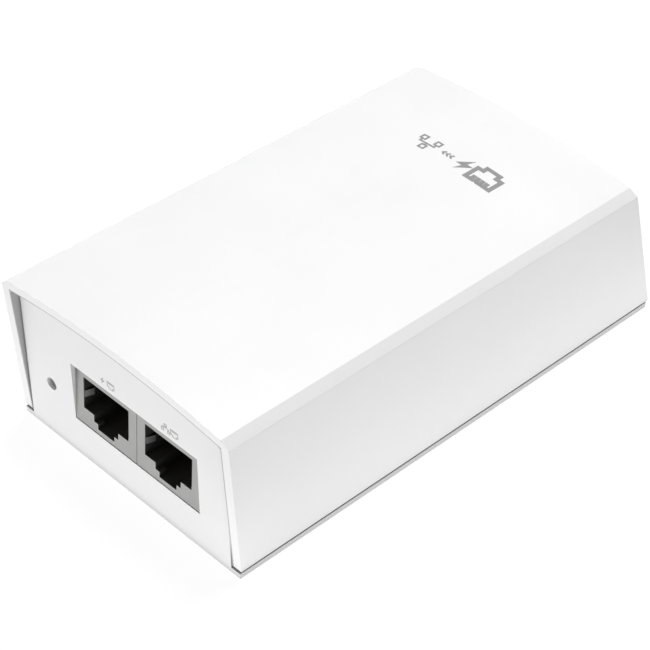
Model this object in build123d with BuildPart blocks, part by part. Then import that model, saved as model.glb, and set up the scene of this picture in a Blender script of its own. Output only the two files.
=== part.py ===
"""A power-over-Ethernet injector: a white case with two network jacks in its front and a mains inlet in
its rear, round one circuit board that turns mains into 48 V and feeds it into the outgoing network cable.

Frame: X across the front, Y from the front to the rear, Z up. The origin is the middle of the footprint, on
the surface that the feet stand on. All sizes are in millimetres and all angles in degrees.
"""

import os
from math import hypot, radians, tan

from build123d import *

# ---------------------------------------------------------------------------------------------------------
# Case: driving dimensions
# ---------------------------------------------------------------------------------------------------------
case_width = 57.6  # over the cover's side walls
top_length = 104.2  # cover's top, from its front edge to its rear edge
side_height = 31.7  # cover, from its lower edge to the shoulder
crown_rise = 2.2  # how far the arched top stands above the shoulders
shoulder_in = 1.8  # bevel between top and side
shoulder_down = 1.5
shoulder_round = 0.35
cover_wall = 2.1
front_rake = 7.4  # cover's front edge runs back towards the base
rear_rake = 18.7  # cover's rear edge runs out towards the base

base_thickness = 1.2
base_inset = 0.2  # base edge inside the cover's outer faces
seam_gap = 0.6  # shadow gap between base and cover
foot_stand = 0.6  # how far the feet stand out of the base

panel_rake = 3.9
panel_setback = 1.85  # end panels behind the cover's edge, at the shoulder
panel_thickness = 1.8
panel_gap = 0.3  # between a panel and the cover round it
groove_wall = 1.2  # rails that hold the rear panel's foot, and the rib that holds its head
groove_height = 1.6
groove_gap = 0.1
upstand_thickness = 1.2  # upstands of the base, inside the cover's side walls
upstand_height = 4.4
upstand_gap = 0.3  # between the upstands and the cover

# Heights of the case
base_bottom = foot_stand
floor_top = base_bottom + base_thickness
cover_bottom = floor_top + seam_gap
shoulder_z = cover_bottom + side_height
crown_z = shoulder_z + crown_rise

# Lengths of the case
front_slope = tan(radians(front_rake))
rear_slope = tan(radians(rear_rake))
panel_slope = tan(radians(panel_rake))
overall_length = top_length + crown_rise * front_slope + side_height * rear_slope
front_top_y = crown_rise * front_slope - overall_length / 2
rear_top_y = front_top_y + top_length
rear_panel_y = rear_top_y - panel_setback  # outer face, upright
rear_panel_inner_y = rear_panel_y - panel_thickness

# Widths of the case
half_width = case_width / 2
inner_half = half_width - cover_wall
base_half = half_width - base_inset
upstand_outer = inner_half - upstand_gap
upstand_inner = upstand_outer - upstand_thickness


def front_edge_y(z):
    """The cover's front edge at height z."""
    return front_top_y + (shoulder_z - z) * front_slope


def rear_edge_y(z):
    """The cover's rear edge at height z."""
    return rear_top_y + (shoulder_z - z) * rear_slope


def panel_y(z):
    """The front panel's outer face at height z."""
    return front_top_y + panel_setback + (shoulder_z - z) * panel_slope


# ---------------------------------------------------------------------------------------------------------
# Network jacks: two alike, side by side
# ---------------------------------------------------------------------------------------------------------
jack_width = 16.05
jack_spacing = 0.1  # between the two shields
jack_height = 12.9
jack_depth = 18.0
jack_rise = 7.05  # jack's foot above the cover's lower edge
jack_middle_x = 2.6  # the seam between the two jacks
jack_clearance = 0.15  # round the shields in the front window
jack_face_setback = 0.1

mouth_width = 11.9  # 8P8C plug opening
mouth_top = 10.8  # above the jack's foot
ledge_drop = 7.1  # from the mouth's top to the ledges that the plug rests on
latch_width = 6.5
latch_drop = 8.6
catch_width = 4.4
catch_drop = 9.8
mouth_depth = 12.9
housing_back_wall = 2.0
latch_lip = 1.6  # wall that the plug's latch snaps behind
latch_pocket = 7.0
shield_sheet = 0.25
shield_slack = 0.05  # between the shield and the plastic inside it
shield_leg_width = 1.4
shield_leg_depth = 6.6  # legs behind the jack's face

finger_height = 1.5  # earthing springs at the sides of the mouth
finger_rise = 6.7  # their middle above the jack's foot
finger_length = 3.3
finger_peak = 1.98  # their bend behind the jack's face
finger_bulge = 0.55
finger_sheet = 0.2
finger_room = 0.35  # depth of the housing's recess behind a spring

peg_radius = 1.15  # housing's locating pegs
peg_half_span = 5.1
peg_depth = 8.9

wire_count = 8
wire_pitch = 1.02
wire_width = 0.44
wire_thickness = 0.34
wire_slot = 0.64
slot_headroom = 0.1
bend_radius = 0.42
bend_gap = 0.06  # between the spring arm's round root and the hook that holds it
pivot_depth = 2.9  # root behind the jack's face
pivot_rise = 0.45  # root above the mouth's top
arm_length = 9.6
arm_droop = 19.0  # spring arm below level, at rest
tail_rows = (15.6, 16.9)  # solder tails behind the jack's face, even and odd wires

jack_pitch = jack_width + jack_spacing
jack_foot_z = cover_bottom + jack_rise
window_bottom = jack_foot_z - jack_clearance
window_top = jack_foot_z + jack_height + jack_clearance
window_half = jack_width + jack_spacing / 2 + jack_clearance
jack_face_y = panel_y(window_bottom) + jack_face_setback
jack_back_y = jack_face_y + jack_depth
jack_sides = {"poe": jack_middle_x - jack_pitch / 2, "lan": jack_middle_x + jack_pitch / 2}

mouth_half = mouth_width / 2
mouth_z = jack_foot_z + mouth_top
housing_front_y = jack_face_y + shield_sheet + shield_slack
housing_back_y = jack_face_y + mouth_depth + housing_back_wall
pivot_y = jack_face_y + pivot_depth
pivot_z = mouth_z + pivot_rise
hook_inner = bend_radius + bend_gap
hook_outer = hook_inner + wire_thickness

# ---------------------------------------------------------------------------------------------------------
# Mains inlet: 10 A, three pins
# ---------------------------------------------------------------------------------------------------------
inlet_side_wall = 1.55
inlet_end_wall = 1.6  # above and below the mouth
inlet_back_wall = 4.2
inlet_proud = 0.8  # rim outside the rear panel
inlet_corner_radius = 1.5
inlet_clearance = 0.15
inlet_mouth_width = 24.5
inlet_mouth_height = 16.6
inlet_mouth_depth = 16.6
inlet_key = 5.2  # bevelled corners on the earth side
inlet_width = inlet_mouth_width + 2 * inlet_side_wall
inlet_height = inlet_mouth_height + 2 * inlet_end_wall
inlet_depth = inlet_mouth_depth + inlet_back_wall
pin_width = 2.0
pin_height = 4.0
pin_half_span = 7.0  # line and neutral from the middle
pin_drop = 2.0  # line and neutral below the mouth's middle
earth_rise = 4.0  # earth above line and neutral
pin_length = 14.8
pin_fit = 0.04
pin_leg = 1.0  # thickness of the legs behind the inlet
pin_leg_gap = 0.4
pin_bevel = 0.4

# ---------------------------------------------------------------------------------------------------------
# Circuit board and the posts that hold it and the cover
# ---------------------------------------------------------------------------------------------------------
board_thickness = 1.6
board_gap = 0.35  # between the board's edges and the case
lead_reach = 1.2  # solder ends below the board
lead_slack = 0.1  # round leads in their holes, on the radius

board_top = jack_foot_z
board_bottom = board_top - board_thickness
lead_bottom = board_bottom - lead_reach
board_half = upstand_inner - board_gap
board_front_y = panel_y(board_bottom) + panel_thickness + board_gap
board_rear_y = rear_panel_inner_y - board_gap
inlet_face_y = rear_panel_y + inlet_proud
inlet_back_y = inlet_face_y - inlet_depth
inlet_middle_z = board_top + inlet_height / 2
inlet_half = inlet_width / 2
pin_leg_y = inlet_back_y - pin_leg_gap - pin_leg

screw_fit = 0.03  # screws in the plastic that they cut their thread in
screw_slack = 0.2  # screws and heads in plain holes
case_screw_radius = 1.1
case_screw_length = 12.0
case_head_radius = 1.9
case_head_height = 1.5
case_drive_width = 1.9  # cross in the head
case_drive_slot = 0.5
case_drive_depth = 0.75
post_radius = 2.75  # posts of the cover, round the case screws
post_wall_gap = 0.55
post_web = 1.4
boss_rise = 3.2
head_seat = 1.5  # plastic between a screw's head and the boss's top
post_setback = 9.0  # front posts behind the jacks
post_rear_inset = 8.5  # rear posts before the rear panel's outer face

post_room = post_radius + post_wall_gap  # round each post, as far as the side wall
boss_radius = post_room - upstand_gap  # bosses of the base, which the posts stand on
post_x = inner_half - post_room
post_front_y = jack_back_y + post_setback
post_rear_y = rear_panel_y - post_rear_inset
post_points = [(x, y) for x in (-post_x, post_x) for y in (post_front_y, post_rear_y)]
boss_top = floor_top + boss_rise
case_head_top = boss_top - head_seat

stand_radius = 2.4  # stands of the base, under the board
board_screw_radius = 1.0
board_head_radius = 1.9
board_head_height = 1.3
board_screw_length = 4.6
stand_edge = 2.8  # stand's middle inside the board's edge
stand_setback = 2.6  # front stands behind the jacks
stand_overlap = 1.8  # rear stands behind the inlet's back
stand_x = board_half - stand_edge
stand_front_y = jack_back_y + stand_setback
stand_rear_y = inlet_back_y + stand_overlap
stand_points = [(x, y) for x in (-stand_x, stand_x) for y in (stand_front_y, stand_rear_y)]

foot_radius = 4.3
foot_recess = 0.6
foot_clearance = 0.15
foot_edge = 7.8  # foot's middle inside the base's side
foot_end = 9.0  # foot's middle inside the base's ends
base_front_y = panel_y(base_bottom)
base_rear_y = rear_edge_y(cover_bottom) - base_inset
foot_points = [
    (x, y)
    for x in (foot_edge - base_half, base_half - foot_edge)
    for y in (base_front_y + foot_end, base_rear_y - foot_end)
]

sheet_thickness = 0.3  # insulating sheet on the floor
sheet_gap = 0.5  # between the sheet and what stands round it
label_length = 44.0
label_width = 26.0
label_thickness = 0.15

# ---------------------------------------------------------------------------------------------------------
# Status lamp
# ---------------------------------------------------------------------------------------------------------
lamp_x = -19.85
lamp_rise = 10.95  # above the cover's lower edge
lamp_hole_radius = 1.3
pipe_slack = 0.06
pipe_recess = 0.7  # light pipe's end behind the panel's face
pipe_length = 5.4
pipe_round = 0.3
lamp_width = 4.0
lamp_depth = 3.6
lamp_height = 5.6
lamp_lead_half_span = 1.27
lamp_z = cover_bottom + lamp_rise
pipe_front_y = panel_y(lamp_z) + pipe_recess
pipe_back_y = pipe_front_y + pipe_length

# ---------------------------------------------------------------------------------------------------------
# Parts on the board. The outgoing side is placed from the jacks, the mains side from the inlet.
# ---------------------------------------------------------------------------------------------------------
thin_lead = 0.3  # radii
thick_lead = 0.45
lead_half_span = 2.5  # leads from the middle, on parts with two

module_at = (3.0, jack_back_y + 9.0)  # data transformers
module_size = (16.0, 9.6, 5.6)
module_pins = 12
inductor_at = (-12.5, jack_back_y + 9.4)
inductor_radius = 4.8
inductor_height = 12.5
output_capacitor_points = [(17.2, jack_back_y + 16.8), (17.2, jack_back_y + 28.2)]
output_capacitor_radius = 5.0
output_capacitor_height = 16.0
optocoupler_at = (14.0, jack_back_y + 37.0)
chip_size = (9.6, 6.2, 3.4)
optocoupler_size = (4.6, 6.2, 3.4)
controller_at = (-3.2, inlet_back_y - 15.6)
chip_pin = 0.5
chip_pin_pitch = 2.54
chip_standoff = 0.4
controller_pins = 8
optocoupler_pins = 4

transformer_at = (-1.5, jack_back_y + 29.4)
core_width = 25.0
core_depth = 7.0
core_height = 19.6
core_leg = 3.4
core_middle_leg = 7.0
core_gap = 0.15  # round the core inside the bobbin
bobbin_wall = 1.0
bobbin_depth = 17.0
bobbin_foot = 1.4  # core's underside above the board
winding_inset = 0.6  # winding inside the flanges' edges
winding_gap = 0.05
winding_round = 1.7
transformer_pins = 4

y_capacitor_at = (-17.6, jack_back_y + 34.6)
fuse_at = (-(inlet_half + 4.0), inlet_back_y + 5.8)
fuse_radius = 3.1
fuse_height = 8.0
thermistor_at = (-(inlet_half + 3.4), inlet_back_y + 13.6)
varistor_at = (inlet_half + 3.4, inlet_back_y + 13.6)
disc_radius = 3.6
disc_thickness = 3.0
disc_stand = 1.2
disc_round = 1.0
filter_at = (inlet_half + 3.2, inlet_back_y + 3.6)
filter_size = (5.4, 12.6, 11.0)
filter_round = 0.4
filter_lead_half_span = 5.0
bulk_at = (-(board_half - 8.4), inlet_back_y - 11.4)
bulk_radius = 8.0
bulk_height = 19.8
bulk_lead_half_span = 3.75
can_bevel = 0.6
bridge_at = (-3.2, inlet_back_y - 7.2)
bridge_size = (6.4, 8.4, 3.2)
bridge_pin_inset = 1.7

choke_at = (9.6, inlet_back_y - 10.6)
choke_outer = 7.2
choke_inner = 4.2
choke_height = 6.4
choke_wrap = 1.0  # winding's thickness
choke_span = 130.0  # degrees of the ring that each winding covers
choke_gap = 0.05
choke_lead_half_span = 3.42  # leads before and behind the ring's middle

sink_thickness = 1.6
sink_height = 19.0
sink_edge = 0.2  # heatsink inside the board's edge
switch_y = inlet_back_y - 12.6
switch_sink_length = 21.0
sink_pin_inset = 1.9  # pins from the heatsink's ends
rectifier_y = jack_back_y + 20.6
rectifier_sink_length = 16.0
device_thickness = 4.5
device_width = 10.0
device_height = 15.6
device_stand = 2.6
device_hole_z = 12.8  # above the device's foot
device_lead_pitch = 2.54
device_screw_radius = 1.45
device_head_radius = 2.6
device_head_height = 1.8
sink_inner = board_half - sink_edge - sink_thickness
device_x = sink_inner - device_thickness / 2

resistor_points = [(-6.0, jack_back_y + 16.6), (-1.0, jack_back_y + 16.6), (4.0, jack_back_y + 16.6)]
resistor_size = (3.2, 1.6, 0.6)

os.makedirs("parts", exist_ok=True)

board_holes = []  # each entry: points, and the radius of what passes through them


def facing_front(y):
    """An upright plane at y. Its sketches are drawn in X and Z, and are extruded to the front."""
    return Plane.XZ.offset(-y)


def case_section(gap, bottom):
    """Draws the case's cross-section, gap inside the cover's outer faces, from the given height up."""
    shoulder_x = half_width - shoulder_in
    side_top = shoulder_z - shoulder_down
    foot = bottom - gap
    with BuildLine() as outline:
        Polyline((-shoulder_x, shoulder_z), (-half_width, side_top), (-half_width, foot))
        Line((-half_width, foot), (half_width, foot))
        Polyline((half_width, foot), (half_width, side_top), (shoulder_x, shoulder_z))
        ThreePointArc((shoulder_x, shoulder_z), (0, crown_z), (-shoulder_x, shoulder_z))
    section = make_face(outline.edges(), mode=Mode.PRIVATE)
    if gap > 0:
        section = offset(section, amount=-gap, mode=Mode.PRIVATE)
    add(section)


def side_profile(front, rear, bottom, top):
    """Draws a side view between two edges, each given as a function of the height."""
    with BuildLine() as outline:
        Polyline((front(bottom), bottom), (rear(bottom), bottom), (rear(top), top), (front(top), top),
                 close=True)
    make_face(outline.edges())


def box_between(x_range, y_range, z_range, mode=Mode.ADD):
    """A block between two heights, over a rectangle given by its ranges in X and Y."""
    with BuildSketch(Plane.XY.offset(z_range[0])) as plan:
        with Locations(((x_range[0] + x_range[1]) / 2, (y_range[0] + y_range[1]) / 2)):
            Rectangle(x_range[1] - x_range[0], y_range[1] - y_range[0])
    extrude(plan.sketch, amount=z_range[1] - z_range[0], mode=mode)


def block(x, y, size, bottom=board_top, mode=Mode.ADD):
    """A block of the given size that stands on a height, round a middle in X and Y."""
    box_between((x - size[0] / 2, x + size[0] / 2), (y - size[1] / 2, y + size[1] / 2),
                (bottom, bottom + size[2]), mode)


def round_posts(points, radius, z_range, mode=Mode.ADD):
    """Upright cylinders between two heights."""
    with BuildSketch(Plane.XY.offset(z_range[0])) as plan:
        with Locations(*points):
            Circle(radius)
    extrude(plan.sketch, amount=z_range[1] - z_range[0], mode=mode)


def leads(points, radius, top=board_top):
    """Round leads from a height down through the board, which gets a hole for each."""
    round_posts(points, radius, (lead_bottom, top))
    board_holes.append((points, radius + lead_slack))


# ---------------------------------------------------------------------------------------------------------
# Top cover: arched top and two side walls, with four posts for the case screws
# ---------------------------------------------------------------------------------------------------------
with BuildPart() as top_cover:
    with BuildSketch(Plane.YZ):
        side_profile(front_edge_y, rear_edge_y, cover_bottom, crown_z)
    extrude(amount=half_width, both=True)
    with BuildSketch(Plane.XZ):
        case_section(0, cover_bottom)
    extrude(amount=overall_length, both=True, mode=Mode.INTERSECT)
    long_edges = top_cover.edges().filter_by(Axis.Y).group_by(Axis.Z)[1:]
    fillet([edge for group in long_edges for edge in group], shoulder_round)
    with BuildSketch(Plane.XZ):
        case_section(cover_wall, cover_bottom - cover_wall)
    extrude(amount=overall_length, both=True, mode=Mode.SUBTRACT)
    # posts, each tied to the side wall by a web, up to the cover's inner surface
    with BuildSketch(Plane.XY.offset(boss_top)):
        with Locations(*post_points):
            Circle(post_radius)
        for x, y in post_points:
            side = 1 if x > 0 else -1
            with Locations((side * (post_x + inner_half) / 2, y)):
                Rectangle(inner_half - post_x, post_web)
    extrude(amount=shoulder_z - shoulder_down - cover_wall / 2 - boss_top)
    round_posts(post_points, case_screw_radius + screw_fit,
                (boss_top, case_head_top + case_screw_length + screw_slack), Mode.SUBTRACT)
    # rib in front of the rear panel's head
    with BuildSketch(facing_front(rear_panel_inner_y - groove_gap)):
        case_section(cover_wall, shoulder_z - cover_wall - panel_gap - groove_height)
    extrude(amount=groove_wall)
    rib_back_y = rear_panel_inner_y - groove_gap
    box_between((-inlet_half - inlet_clearance, inlet_half + inlet_clearance),
                (rib_back_y - groove_wall, rib_back_y),
                (board_top, board_top + inlet_height + inlet_clearance), Mode.SUBTRACT)
top_cover.part.label = "top_cover"
export_step(top_cover.part, "parts/top_cover.step")

# ---------------------------------------------------------------------------------------------------------
# Bottom case: floor and raked front panel in one piece
# ---------------------------------------------------------------------------------------------------------
with BuildPart() as bottom_case:
    # front panel, inside the cover
    with BuildSketch(Plane.YZ):
        side_profile(panel_y, lambda z: panel_y(z) + panel_thickness, base_bottom, crown_z)
    extrude(amount=inner_half, both=True)
    with BuildSketch(Plane.XZ):
        case_section(cover_wall + panel_gap, base_bottom)
    extrude(amount=overall_length, both=True, mode=Mode.INTERSECT)
    # floor
    with BuildSketch(Plane.YZ):
        side_profile(panel_y, lambda z: base_rear_y, base_bottom, floor_top)
    extrude(amount=base_half, both=True)
    # upstands inside the cover's side walls
    for side in (-1, 1):
        inner, outer = sorted((side * upstand_inner, side * upstand_outer))
        box_between((inner, outer), (board_front_y, rear_panel_inner_y - 2 * groove_gap - groove_wall),
                    (floor_top, floor_top + upstand_height))
    # rails for the rear panel's foot
    for rail_y in (rear_panel_inner_y - groove_gap - groove_wall, rear_panel_y + groove_gap):
        box_between((-upstand_inner, upstand_inner), (rail_y, rail_y + groove_wall),
                    (floor_top, floor_top + groove_height))
    # stands for the board
    round_posts(stand_points, stand_radius, (floor_top, board_bottom))
    round_posts(stand_points, board_screw_radius + screw_fit,
                (board_top - board_screw_length - screw_slack, board_bottom), Mode.SUBTRACT)
    # room above the bosses for the cover's posts, then the bosses
    round_posts(post_points, post_room, (floor_top, crown_z), Mode.SUBTRACT)
    round_posts(post_points, boss_radius, (floor_top, boss_top))
    round_posts(post_points, case_screw_radius + screw_slack, (base_bottom, boss_top), Mode.SUBTRACT)
    round_posts(post_points, case_head_radius + screw_slack, (base_bottom, case_head_top), Mode.SUBTRACT)
    # recesses for the feet
    round_posts(foot_points, foot_radius + foot_clearance, (base_bottom, base_bottom + foot_recess),
                Mode.SUBTRACT)
    # window for the two jacks
    with BuildSketch(Plane.XZ):
        with Locations((jack_middle_x, (window_bottom + window_top) / 2)):
            Rectangle(2 * window_half, window_top - window_bottom)
    extrude(amount=overall_length, mode=Mode.SUBTRACT)
    # hole for the status lamp's light pipe
    with BuildSketch(Plane.XZ):
        with Locations((lamp_x, lamp_z)):
            Circle(lamp_hole_radius)
    extrude(amount=overall_length, mode=Mode.SUBTRACT)
bottom_case.part.label = "bottom_case"
export_step(bottom_case.part, "parts/bottom_case.step")

# ---------------------------------------------------------------------------------------------------------
# Rear panel: stands in the base's rails, with a window for the mains inlet
# ---------------------------------------------------------------------------------------------------------
with BuildPart() as rear_panel:
    with BuildSketch(facing_front(rear_panel_y)):
        case_section(cover_wall + panel_gap, floor_top)
        with Locations((0, inlet_middle_z)):
            RectangleRounded(
                inlet_width + 2 * inlet_clearance,
                inlet_height + 2 * inlet_clearance,
                inlet_corner_radius + inlet_clearance,
                mode=Mode.SUBTRACT,
            )
    extrude(amount=panel_thickness)
rear_panel.part.label = "rear_panel"
export_step(rear_panel.part, "parts/rear_panel.step")

# ---------------------------------------------------------------------------------------------------------
# Small parts of the case
# ---------------------------------------------------------------------------------------------------------
with BuildPart() as rubber_feet:
    round_posts(foot_points, foot_radius, (0, base_bottom + foot_recess))
rubber_feet.part.label = "rubber_feet"
export_step(rubber_feet.part, "parts/rubber_feet.step")

with BuildPart() as case_screws:
    round_posts(post_points, case_head_radius, (case_head_top - case_head_height, case_head_top))
    round_posts(post_points, case_screw_radius, (case_head_top, case_head_top + case_screw_length))
    with BuildSketch(Plane.XY.offset(case_head_top - case_head_height)):
        with Locations(*post_points):
            Rectangle(case_drive_width, case_drive_slot)
            Rectangle(case_drive_slot, case_drive_width)
    extrude(amount=case_drive_depth, mode=Mode.SUBTRACT)
case_screws.part.label = "case_screws"
export_step(case_screws.part, "parts/case_screws.step")

with BuildPart() as rating_label:
    block(0, (base_front_y + base_rear_y) / 2, (label_width, label_length, label_thickness),
          base_bottom - label_thickness)
rating_label.part.label = "rating_label"
export_step(rating_label.part, "parts/rating_label.step")

with BuildPart() as insulating_sheet:
    sheet_half = min(post_x - boss_radius, stand_x - stand_radius) - sheet_gap
    box_between((-sheet_half, sheet_half),
                (board_front_y + sheet_gap, rear_panel_inner_y - groove_gap - groove_wall - sheet_gap),
                (floor_top, floor_top + sheet_thickness))
insulating_sheet.part.label = "insulating_sheet"
export_step(insulating_sheet.part, "parts/insulating_sheet.step")

# ---------------------------------------------------------------------------------------------------------
# Status lamp and its light pipe
# ---------------------------------------------------------------------------------------------------------
with BuildPart() as status_lamp:
    block(lamp_x, pipe_back_y + lamp_depth / 2, (lamp_width, lamp_depth, lamp_height))
    leads([(lamp_x + side * lamp_lead_half_span, pipe_back_y + lamp_depth / 2) for side in (-1, 1)],
          thin_lead)
status_lamp.part.label = "status_lamp"
export_step(status_lamp.part, "parts/status_lamp.step")

with BuildPart() as light_pipe:
    with BuildSketch(facing_front(pipe_back_y)):
        with Locations((lamp_x, lamp_z)):
            Circle(lamp_hole_radius - pipe_slack)
    extrude(amount=pipe_length)
    fillet(light_pipe.edges().sort_by(Axis.Y)[0], pipe_round)
light_pipe.part.label = "light_pipe"
export_step(light_pipe.part, "parts/light_pipe.step")


# ---------------------------------------------------------------------------------------------------------
# Network jacks: a metal shield round a plastic housing, with eight spring wires hooked in its roof
# ---------------------------------------------------------------------------------------------------------
def mouth_outline(x):
    """Draws the opening for the plug: the body, and two steps down for its latch."""
    for width, drop in ((mouth_width, ledge_drop), (latch_width, latch_drop), (catch_width, catch_drop)):
        with Locations((x, mouth_z - drop / 2)):
            Rectangle(width, drop)


def wire_places(x):
    """Middles of a jack's eight wires, with the row of each one's solder tail."""
    first = x - wire_pitch * (wire_count - 1) / 2
    return [(first + i * wire_pitch, tail_rows[i % 2]) for i in range(wire_count)]


for name, x in jack_sides.items():
    with BuildPart() as jack_shield:
        block(x, (jack_face_y + jack_back_y) / 2, (jack_width, jack_depth, jack_height))
        block(x, (jack_face_y + jack_back_y) / 2,
              (jack_width - 2 * shield_sheet, jack_depth - 2 * shield_sheet, jack_height - shield_sheet),
              mode=Mode.SUBTRACT)
        with BuildSketch(facing_front(jack_face_y + shield_sheet)):
            mouth_outline(x)
        extrude(amount=shield_sheet, mode=Mode.SUBTRACT)
        # earthing springs, bent in from the sides of the mouth
        with BuildSketch(Plane.XY.offset(jack_foot_z + finger_rise - finger_height / 2)):
            for side in (-1, 1):
                wall_x = x + side * mouth_half
                outer_x = wall_x + side * finger_sheet
                with BuildLine():
                    Polyline(
                        (outer_x, jack_face_y + shield_sheet / 2),
                        (wall_x, jack_face_y + shield_sheet / 2),
                        (wall_x - side * finger_bulge, jack_face_y + finger_peak),
                        (wall_x, jack_face_y + finger_length),
                        (outer_x, jack_face_y + finger_length),
                        (outer_x - side * finger_bulge, jack_face_y + finger_peak),
                        (outer_x, jack_face_y + shield_sheet),
                        close=True,
                    )
                make_face()
        extrude(amount=finger_height)
        # legs through the board
        for side in (-1, 1):
            block(x + side * (jack_width - shield_sheet) / 2, jack_face_y + shield_leg_depth,
                  (shield_sheet, shield_leg_width, board_top - lead_bottom), lead_bottom)
    jack_shield.part.label = f"{name}_jack_shield"
    export_step(jack_shield.part, f"parts/{name}_jack_shield.step")

    with BuildPart() as jack_housing:
        inner_width = jack_width - 2 * (shield_sheet + shield_slack)
        inner_height = jack_height - shield_sheet - shield_slack
        box_between((x - inner_width / 2, x + inner_width / 2), (housing_front_y, housing_back_y),
                    (jack_foot_z, jack_foot_z + inner_height))
        with BuildSketch(facing_front(jack_face_y + mouth_depth)):
            mouth_outline(x)
        extrude(amount=mouth_depth, mode=Mode.SUBTRACT)
        # pocket behind the lip that the plug's latch snaps over
        box_between((x - latch_width / 2, x + latch_width / 2),
                    (jack_face_y + latch_lip, jack_face_y + latch_lip + latch_pocket),
                    (mouth_z - catch_drop, mouth_z - ledge_drop), Mode.SUBTRACT)
        # slots for the wires, open to the mouth and to the back
        for wire_x, _ in wire_places(x):
            box_between((wire_x - wire_slot / 2, wire_x + wire_slot / 2),
                        (pivot_y - hook_outer - slot_headroom, housing_back_y),
                        (pivot_z - bend_radius - slot_headroom, pivot_z + hook_outer + slot_headroom),
                        Mode.SUBTRACT)
        # recesses behind the earthing springs
        for side in (-1, 1):
            near, far = sorted((x + side * mouth_half, x + side * (mouth_half + finger_room)))
            box_between((near, far), (housing_front_y, jack_face_y + finger_length + finger_room),
                        (jack_foot_z + finger_rise - finger_height / 2 - finger_sheet,
                         jack_foot_z + finger_rise + finger_height / 2 + finger_sheet), Mode.SUBTRACT)
        pegs = [(x - peg_half_span, jack_face_y + peg_depth), (x + peg_half_span, jack_face_y + peg_depth)]
        leads(pegs, peg_radius)
    jack_housing.part.label = f"{name}_jack_housing"
    export_step(jack_housing.part, f"parts/{name}_jack_housing.step")

    # spring arms: each turns a little on its round root when a plug pushes it up
    with BuildPart() as jack_contacts:
        for wire_x, _ in wire_places(x):
            with BuildSketch(Plane.YZ.offset(wire_x - wire_width / 2)):
                with Locations((pivot_y, pivot_z)):
                    Circle(bend_radius)
                    Rectangle(arm_length, wire_thickness, rotation=-arm_droop,
                              align=(Align.MIN, Align.CENTER))
            extrude(amount=wire_width)
    jack_contacts.part.label = f"{name}_jack_contacts"
    export_step(jack_contacts.part, f"parts/{name}_jack_contacts.step")

    # fixed ends of the wires: a hook round each root, a run along the roof and a tail into the board
    with BuildPart() as jack_leads:
        for wire_x, tail_row in wire_places(x):
            tail_y = jack_face_y + tail_row
            with BuildSketch(Plane.YZ.offset(wire_x - wire_width / 2)):
                with Locations((pivot_y, pivot_z)):
                    Circle(hook_outer)
                    Circle(hook_inner, mode=Mode.SUBTRACT)
                    Rectangle(hook_outer, 2 * hook_outer, align=(Align.MIN, Align.CENTER),
                              mode=Mode.SUBTRACT)
                    Rectangle(2 * hook_outer, hook_outer, align=(Align.CENTER, Align.MAX),
                              mode=Mode.SUBTRACT)
                    Rectangle(tail_y - pivot_y, hook_outer, align=(Align.MIN, Align.MIN))
                    Rectangle(tail_y - pivot_y, hook_inner, align=(Align.MIN, Align.MIN), mode=Mode.SUBTRACT)
                with Locations((tail_y, pivot_z + hook_outer)):
                    Rectangle(wire_thickness, pivot_z + hook_outer - lead_bottom,
                              align=(Align.CENTER, Align.MAX))
            extrude(amount=wire_width)
    jack_leads.part.label = f"{name}_jack_leads"
    export_step(jack_leads.part, f"parts/{name}_jack_leads.step")
    tails = [(wire_x, jack_face_y + tail_row) for wire_x, tail_row in wire_places(x)]
    board_holes.append((tails, hypot(wire_width, wire_thickness) / 2 + lead_slack))

# ---------------------------------------------------------------------------------------------------------
# Mains inlet: housing, and three blades with a leg each into the board
# ---------------------------------------------------------------------------------------------------------
blade_places = [
    (-pin_half_span, inlet_middle_z - pin_drop),
    (pin_half_span, inlet_middle_z - pin_drop),
    (0, inlet_middle_z - pin_drop + earth_rise),
]

with BuildPart() as ac_inlet_housing:
    with BuildSketch(facing_front(inlet_face_y)):
        with Locations((0, inlet_middle_z)):
            RectangleRounded(inlet_width, inlet_height, inlet_corner_radius)
    extrude(amount=inlet_depth)
    with BuildSketch(facing_front(inlet_face_y)):
        with Locations((0, inlet_middle_z)):
            mouth = Rectangle(inlet_mouth_width, inlet_mouth_height)
        chamfer(mouth.vertices().group_by(Axis.Z)[-1], inlet_key)
    extrude(amount=inlet_mouth_depth, mode=Mode.SUBTRACT)
    with BuildSketch(facing_front(inlet_face_y)):
        with Locations(*blade_places):
            Rectangle(pin_width + 2 * pin_fit, pin_height + 2 * pin_fit)
    extrude(amount=inlet_depth, mode=Mode.SUBTRACT)
ac_inlet_housing.part.label = "ac_inlet_housing"
export_step(ac_inlet_housing.part, "parts/ac_inlet_housing.step")

with BuildPart() as ac_inlet_pins:
    blade_face_y = inlet_face_y - inlet_mouth_depth + pin_length
    with BuildSketch(facing_front(blade_face_y)):
        with Locations(*blade_places):
            Rectangle(pin_width, pin_height)
    extrude(amount=blade_face_y - pin_leg_y)
    chamfer(ac_inlet_pins.faces().group_by(Axis.Y)[-1].edges(), pin_bevel)
    for blade_x, blade_z in blade_places:
        box_between((blade_x - pin_width / 2, blade_x + pin_width / 2), (pin_leg_y, pin_leg_y + pin_leg),
                    (lead_bottom, blade_z))
    leg_points = [(blade_x, pin_leg_y + pin_leg / 2) for blade_x, _ in blade_places]
    board_holes.append((leg_points, hypot(pin_width, pin_leg) / 2 + lead_slack))
ac_inlet_pins.part.label = "ac_inlet_pins"
export_step(ac_inlet_pins.part, "parts/ac_inlet_pins.step")

# ---------------------------------------------------------------------------------------------------------
# Mains side of the board
# ---------------------------------------------------------------------------------------------------------
with BuildPart() as fuse:
    round_posts([fuse_at], fuse_radius, (board_top, board_top + fuse_height))
    leads([(fuse_at[0], fuse_at[1] + end * lead_half_span) for end in (-1, 1)], thin_lead)
fuse.part.label = "fuse"
export_step(fuse.part, "parts/fuse.step")

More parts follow.
